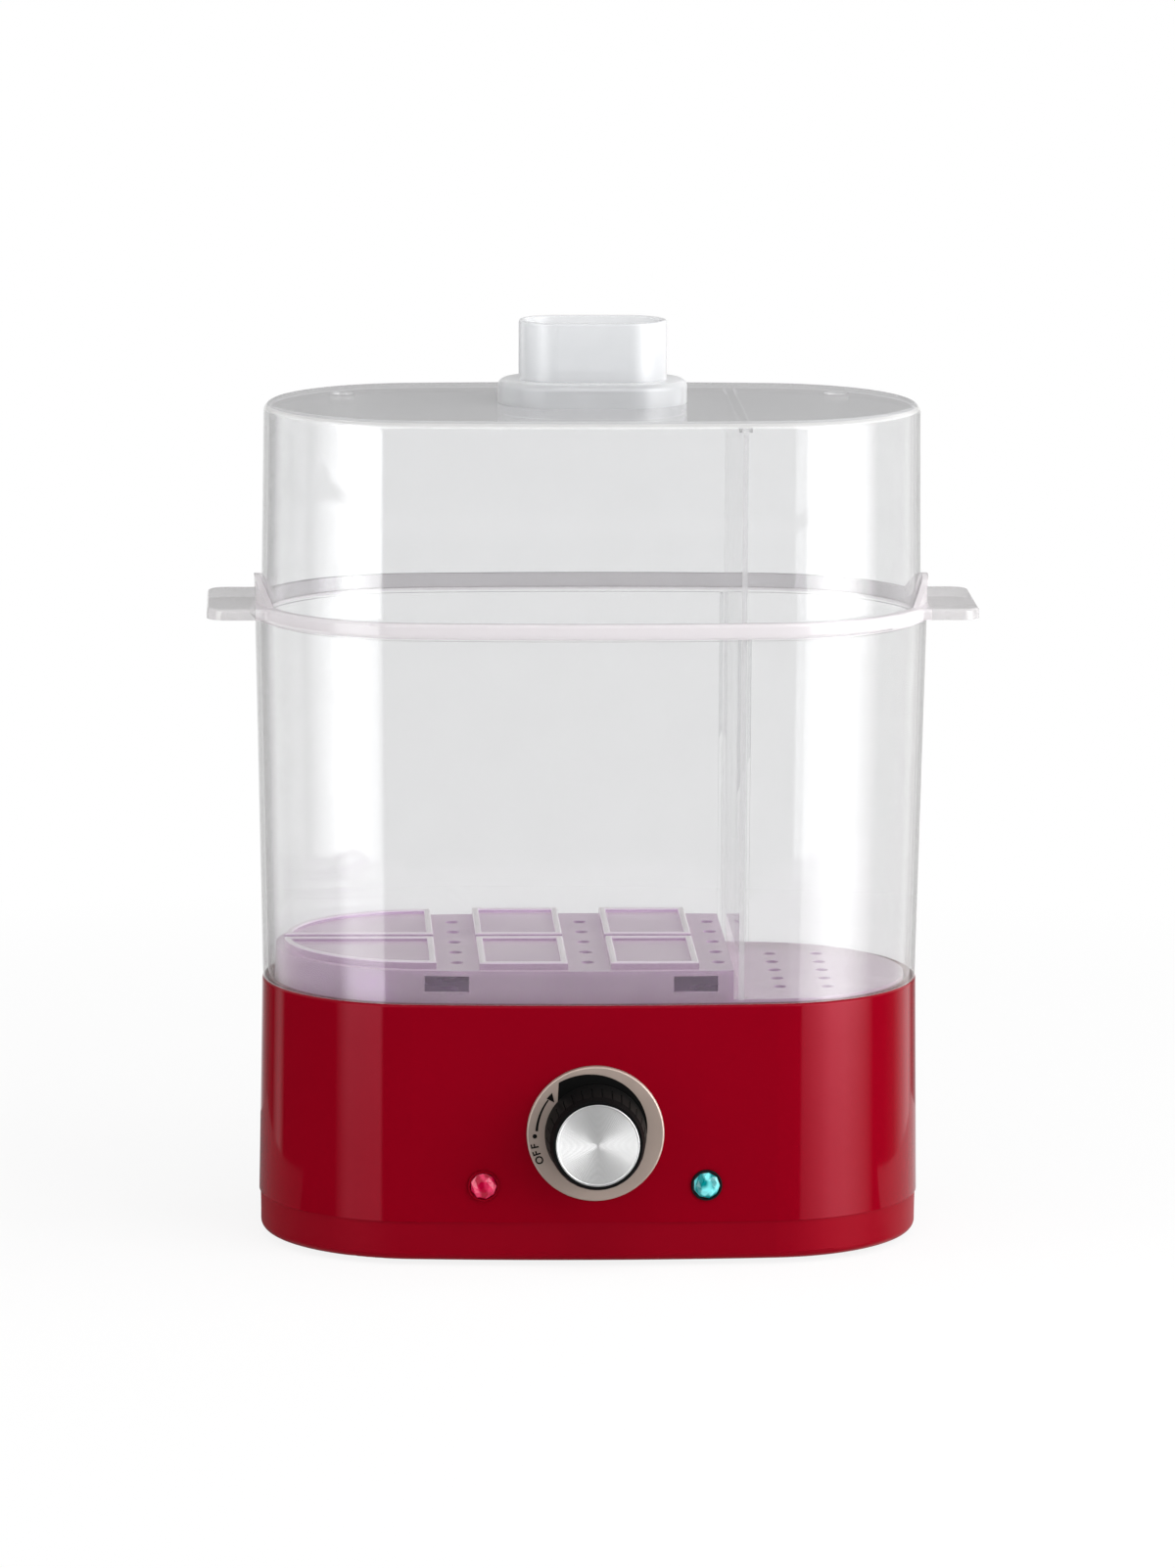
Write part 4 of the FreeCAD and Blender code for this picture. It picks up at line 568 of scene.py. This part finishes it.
# %% Ink marks
ink_height = 0.03 * mm
ink = gloss_moulding("dial_ink", tint(0.002, 0.002, 0.002), tint(0.003, 0.003, 0.003), 0.5, specular=0.05)


def on_dial(radius, degrees, height=ink_height):
    """The point on the plate that far from the dial's middle at that angle; all three may be whole arrays."""
    radius, angle, height = np.broadcast_arrays(radius, np.radians(degrees), height)
    return np.stack([dial[0] + radius * np.cos(angle), plate_front - height,
                     dial[1] + radius * np.sin(angle)], axis=-1)


def ink_mark(name, inner, outer):
    """A flat mark between two lines of points, as (radius, degrees) pairs of arrays, with walls of ink height:
    the grid's four rows are the inner foot, the inner top, the outer top and the outer foot."""
    rows = [on_dial(*inner, 0.0), on_dial(*inner), on_dial(*outer), on_dial(*outer, 0.0)]
    return woven(name, np.stack(rows, axis=1), ink, "base", smooth=False)


along = np.linspace(0.0, 1.0, 61)
wedge_inner, wedge_outer, growth_per_degree = 17.9 * mm, 19.2 * mm, 0.0384 * mm
inner_end, outer_end = 143.0, 125.3
ink_mark("dial_wedge", (wedge_inner, inner_end * along),
         (wedge_outer + growth_per_degree * outer_end * along, outer_end * along))
arc_start, arc_end, arc_radius = 143.5, 177.0, 22.0 * mm
arc_angle = arc_start + (arc_end - arc_start) * along
arc_half = (0.28 + 0.22 * along) * mm  # half its width, which grows along the arc
ink_mark("dial_arc", (arc_radius - arc_half, arc_angle), (arc_radius + arc_half, arc_angle))
head_tip, head_inner, head_outer = 136.0, 142.0, 143.5
ink_mark("dial_arrow", (np.array([22.6, 19.6]) * mm, np.array([head_tip, head_inner])),
         (np.array([22.7, 22.8]) * mm, np.array([head_tip, head_outer])))
dot_angle = np.linspace(0.0, np.pi, 25)
dot_radius, dot_middle = 0.85 * mm, (22.7 * mm, 182.0)
dot_spread = np.degrees(dot_radius * np.sin(dot_angle) / dot_middle[0])
dot_along = dot_middle[0] + dot_radius * np.cos(dot_angle)
ink_mark("dial_dot", (dot_along, dot_middle[1] - dot_spread), (dot_along, dot_middle[1] + dot_spread))

# %% [markdown]
# The word is set letter by letter round the dial: text is turned into a mesh, and the mesh is turned so that
# its foot faces the dial's middle.

# %% The word OFF
stroke_growth = 0.09 * mm


def letter(name, text, radius, degrees, height):
    """One letter standing on a circle about the dial, its top outwards, made from text to a mesh in place."""
    text_data = bpy.data.curves.new(name, "FONT")
    text_data.body, text_data.size = text, height
    text_data.align_x, text_data.align_y = "CENTER", "CENTER"
    text_data.extrude, text_data.offset = ink_height / 2, stroke_growth
    maker = bpy.data.objects.new(name + "_maker", text_data)
    mesh = bpy.data.meshes.new_from_object(maker)
    bpy.data.objects.remove(maker)
    angle = math.radians(degrees)
    top, side = Vector((math.cos(angle), 0, math.sin(angle))), Vector((math.sin(angle), 0, -math.cos(angle)))
    middle = Vector(on_dial(radius, degrees, ink_height / 2).tolist())
    out = side.cross(top)
    mesh.transform(Matrix(((side.x, top.x, out.x, middle.x), (side.y, top.y, out.y, middle.y),
                           (side.z, top.z, out.z, middle.z), (0, 0, 0, 1))))
    return dressed(bpy.data.objects.new(name, mesh), ink, "base")


letter_height, letter_radius = 4.0 * mm, 23.0 * mm
first_letter, letter_step = 205.2, 6.9
letters = [letter("dial_letter_%d" % i, text, letter_radius, first_letter - letter_step * i, letter_height)
           for i, text in enumerate("OFF")]
print("letters:", [piece.name for piece in letters])

# %% [markdown]
# ## The studio
#
# The floor and the world behind are white to the camera and to what is seen through the clear plastic. Gloss
# needs contrast: the red shows its depth only where it mirrors a dark room, so mirrors see a dim room in front,
# a bright strip of wall at each side of the back, which draws a thin line down each end of the base, and the
# white sheet that the steamer stands on, which reaches only a little past it.

# %% Floor and world
def seen_plainly(paint, rays):
    """1 for the camera's own rays and those that come through glass."""
    outs = rays.socket.node.outputs
    return (Signal(paint, outs["Is Camera Ray"]) + Signal(paint, outs["Is Transmission Ray"])).clamp()


def pale_floor(sheet_side=0.27, sheet_front=-0.03, sheet_back=0.215, shadow_share=0.14, left_share=0.22,
               right_extra=0.43):
    """Pale floor: nearly all white to the camera, with a little of its real shade left near the steamer for the
    shadow. Mirrors see it only on the sheet that the steamer stands on, and past that the room. The sheet is
    better lit on the right."""
    paint = Paint("studio_floor")
    rays = paint.node("ShaderNodeLightPath")
    mirrored = Signal(paint, rays.socket.node.outputs["Is Glossy Ray"])
    place = paint.place()
    x, y = paint.apart(place)[:2]
    sheet = x.size().below(sheet_side) * y.above(sheet_front) * y.below(sheet_back)
    grain = paint.cloud(place, 3.0)
    matte = paint.surface(Base_Color=paint.blend(grain, tint(0.84, 0.84, 0.84), tint(0.86, 0.86, 0.86)),
                          Roughness=0.9, Specular_IOR_Level=0.1)
    glow = paint.node("ShaderNodeEmission", {}, [tint(1, 1, 1), 1.0])
    away = (x * x + y * y).rising(0.04, 0.5)  # from 0.2 m out, in square metres
    white = seen_plainly(paint, rays) * (1.0 - shadow_share + shadow_share * away)
    lit = paint.node("ShaderNodeMixShader", {}, [white, matte, glow])
    sheet_share = left_share + right_extra * x.above(0.0)
    black_out = paint.node("ShaderNodeEmission", {}, [tint(0, 0, 0), 1.0])
    in_mirror = paint.node("ShaderNodeMixShader", {}, [sheet_share, black_out, glow])
    clear_way = paint.node("ShaderNodeBsdfTransparent")
    mirror_view = paint.node("ShaderNodeMixShader", {}, [sheet, clear_way, in_mirror])
    return paint.finish(paint.node("ShaderNodeMixShader", {}, [mirrored, lit, mirror_view]))


reach = 12.0
corners = [(-reach, -reach, 0), (reach, -reach, 0), (reach, reach, 0), (-reach, reach, 0)]
floor_mesh = bpy.data.meshes.new("studio_floor")
floor_mesh.from_pydata(corners, [], [(0, 1, 2, 3)])
floor = bpy.data.objects.new("studio_floor", floor_mesh)
bpy.context.scene.collection.objects.link(floor)
floor.data.materials.append(pale_floor())


class Sky(Paint):
    """The same tools on a world instead of a material."""

    def __init__(self, name):
        self.world = bpy.data.worlds.new(name)
        self.world.use_nodes = True
        self.tree = self.world.node_tree
        self.tree.nodes.clear()


left_box_light, right_box_light, left_strip_light, right_strip_light = 3.2, 7.6, 0.62, 0.95
backdrop_light, ceiling_light, ground_light, matte_light = 0.6, 0.62, 0.40, 0.25


def studio_world():
    """White to the camera, and a dim even room to matte surfaces. Mirrors see two soft boxes beside the camera, a
    thin strip of wall at each side of the back, the backdrop far behind, a ceiling that brightens upwards, and
    pale ground straight below. Every part is told by the direction it lies in: x right, y back, z up. Each
    rising(start, end) is a soft side: where that direction passes from start to end, the part fades in."""
    sky = Sky("studio")
    rays = sky.node("ShaderNodeLightPath")
    toward = sky.node("ShaderNodeTexCoord", output=0)
    x, y, z = sky.apart(toward)
    ahead, on_right = 0.0 - y, x.above(0.0)
    on_left = 1.0 - on_right
    box_height = z.rising(-0.55, -0.45) * z.below(0.6) * z.rising(-0.190, -0.172, 0.55, 1.0)
    left_box = on_left * ahead.rising(0.405, 0.555) * (1.0 - ahead.rising(0.846, 0.862)) * left_box_light
    right_box = on_right * ahead.rising(0.0, 0.45) * (1.0 - ahead.rising(0.60, 0.85, 0.0, 0.70))
    right_box = right_box * right_box_light * (1.0 - ahead.rising(0.850, 0.862))
    left_strip = on_left * y.rising(0.46, 0.54) * (1.0 - y.rising(0.58, 0.70)) * left_strip_light
    right_strip = on_right * (y.rising(0.20, 0.40, 0.0, 0.15) + y.rising(0.40, 0.68, 0.0, right_strip_light))
    right_strip = right_strip * (1.0 - y.rising(0.75, 0.84))
    behind = y.rising(0.70, 0.84, 0.02, 0.14) + y.rising(0.84, 0.93, 0.0, 0.22)
    behind = behind + y.rising(0.93, 0.985, 0.0, backdrop_light) * z.rising(0.10, 0.0)
    above, under = z.rising(0.12, 0.45, 0.0, ceiling_light), z.rising(-0.40, -0.65, 0.0, ground_light)
    in_mirror = (left_box + right_box) * box_height + left_strip + right_strip + behind + above + under
    mirrored = Signal(sky, rays.socket.node.outputs["Is Glossy Ray"])
    room_light = mirrored * in_mirror + (1.0 - mirrored) * matte_light
    room = sky.node("ShaderNodeBackground", {}, {"Color": tint(1, 1, 1), "Strength": room_light})
    white_out = sky.node("ShaderNodeBackground", {}, {"Color": tint(1, 1, 1), "Strength": 1.0})
    mixed = sky.node("ShaderNodeMixShader", {}, [seen_plainly(sky, rays), room, white_out])
    sky.node("ShaderNodeOutputWorld", {}, [mixed])
    return sky.world


bpy.context.scene.world = studio_world()
print("floor and world ready")

# %% [markdown]
# Rectangular lamps light the matte surfaces: a panel at each side of the camera, one beyond each end of the
# steamer, and one above the front.

# %% Soft lamps
def soft_lamp(name, place, aim, width, height, radiance):
    """A rectangular lamp at a place, facing a point. Its power is radiance times pi times its area. Mirrors see
    the world's soft boxes in its place, because those can fade at their sides."""
    data = bpy.data.lights.new(name, "AREA")
    data.shape = "RECTANGLE"
    data.size, data.size_y = width, height
    data.energy = radiance * math.pi * width * height
    lamp = bpy.data.objects.new(name, data)
    bpy.context.scene.collection.objects.link(lamp)
    lamp.location = place
    lamp.rotation_euler = (Vector(aim) - Vector(place)).to_track_quat("-Z", "Y").to_euler()
    lamp.visible_camera = False
    lamp.visible_glossy = False


def round_about(azimuth, distance, height):
    """A place that far from the middle, so many degrees right of straight in front."""
    angle = math.radians(azimuth)
    return (distance * math.sin(angle), -distance * math.cos(angle), height)


soft_lamp("left_panel", round_about(-44, 1.5, 0.35), (0, 0, 0.25), 0.86, 1.7, 1.1)
soft_lamp("right_panel", round_about(47.5, 1.5, 0.35), (0, 0, 0.25), 1.30, 1.7, 2.9)
soft_lamp("left_side", round_about(-80, 1.5, 0.45), (0, 0, 0.2), 1.2, 1.5, 2.5)
soft_lamp("right_side", round_about(80, 1.5, 0.45), (0, 0, 0.2), 1.5, 1.5, 4.0)
soft_lamp("top_front", (0.2, -0.9, 1.9), (0, 0, 0.1), 1.4, 0.9, 3.8)

# %% [markdown]
# The camera stands three metres off with a long lens, so that the upright sides stay nearly parallel. Its
# angles are in radians: turned aside, tipped down and rolled.

# %% Camera
focal_pixels, frame_height, sensor_width = 8329.4, 1602, 36.0
camera_place = (-0.12824, -3.03425, 0.70457)
yaw, pitch, roll = -0.0419, 0.1735, 0.0056
forward = Vector((-math.sin(yaw) * math.cos(pitch), math.cos(yaw) * math.cos(pitch), -math.sin(pitch)))
level_right = Vector((math.cos(yaw), math.sin(yaw), 0.0))
level_up = level_right.cross(forward)
right = math.cos(roll) * level_right + math.sin(roll) * level_up
up = -math.sin(roll) * level_right + math.cos(roll) * level_up
camera_data = bpy.data.cameras.new("camera")
camera_data.sensor_width = sensor_width
camera_data.lens = focal_pixels / frame_height * sensor_width
camera = bpy.data.objects.new("camera", camera_data)
camera.matrix_world = Matrix([(right[i], up[i], -forward[i], camera_place[i]) for i in range(3)]
                             + [(0, 0, 0, 1)])
bpy.context.scene.collection.objects.link(camera)
bpy.context.scene.camera = camera
bpy.context.scene.view_settings.view_transform = "Standard"
bpy.context.scene.cycles.transparent_max_bounces = 40
print("lens, mm:", round(camera_data.lens, 1))
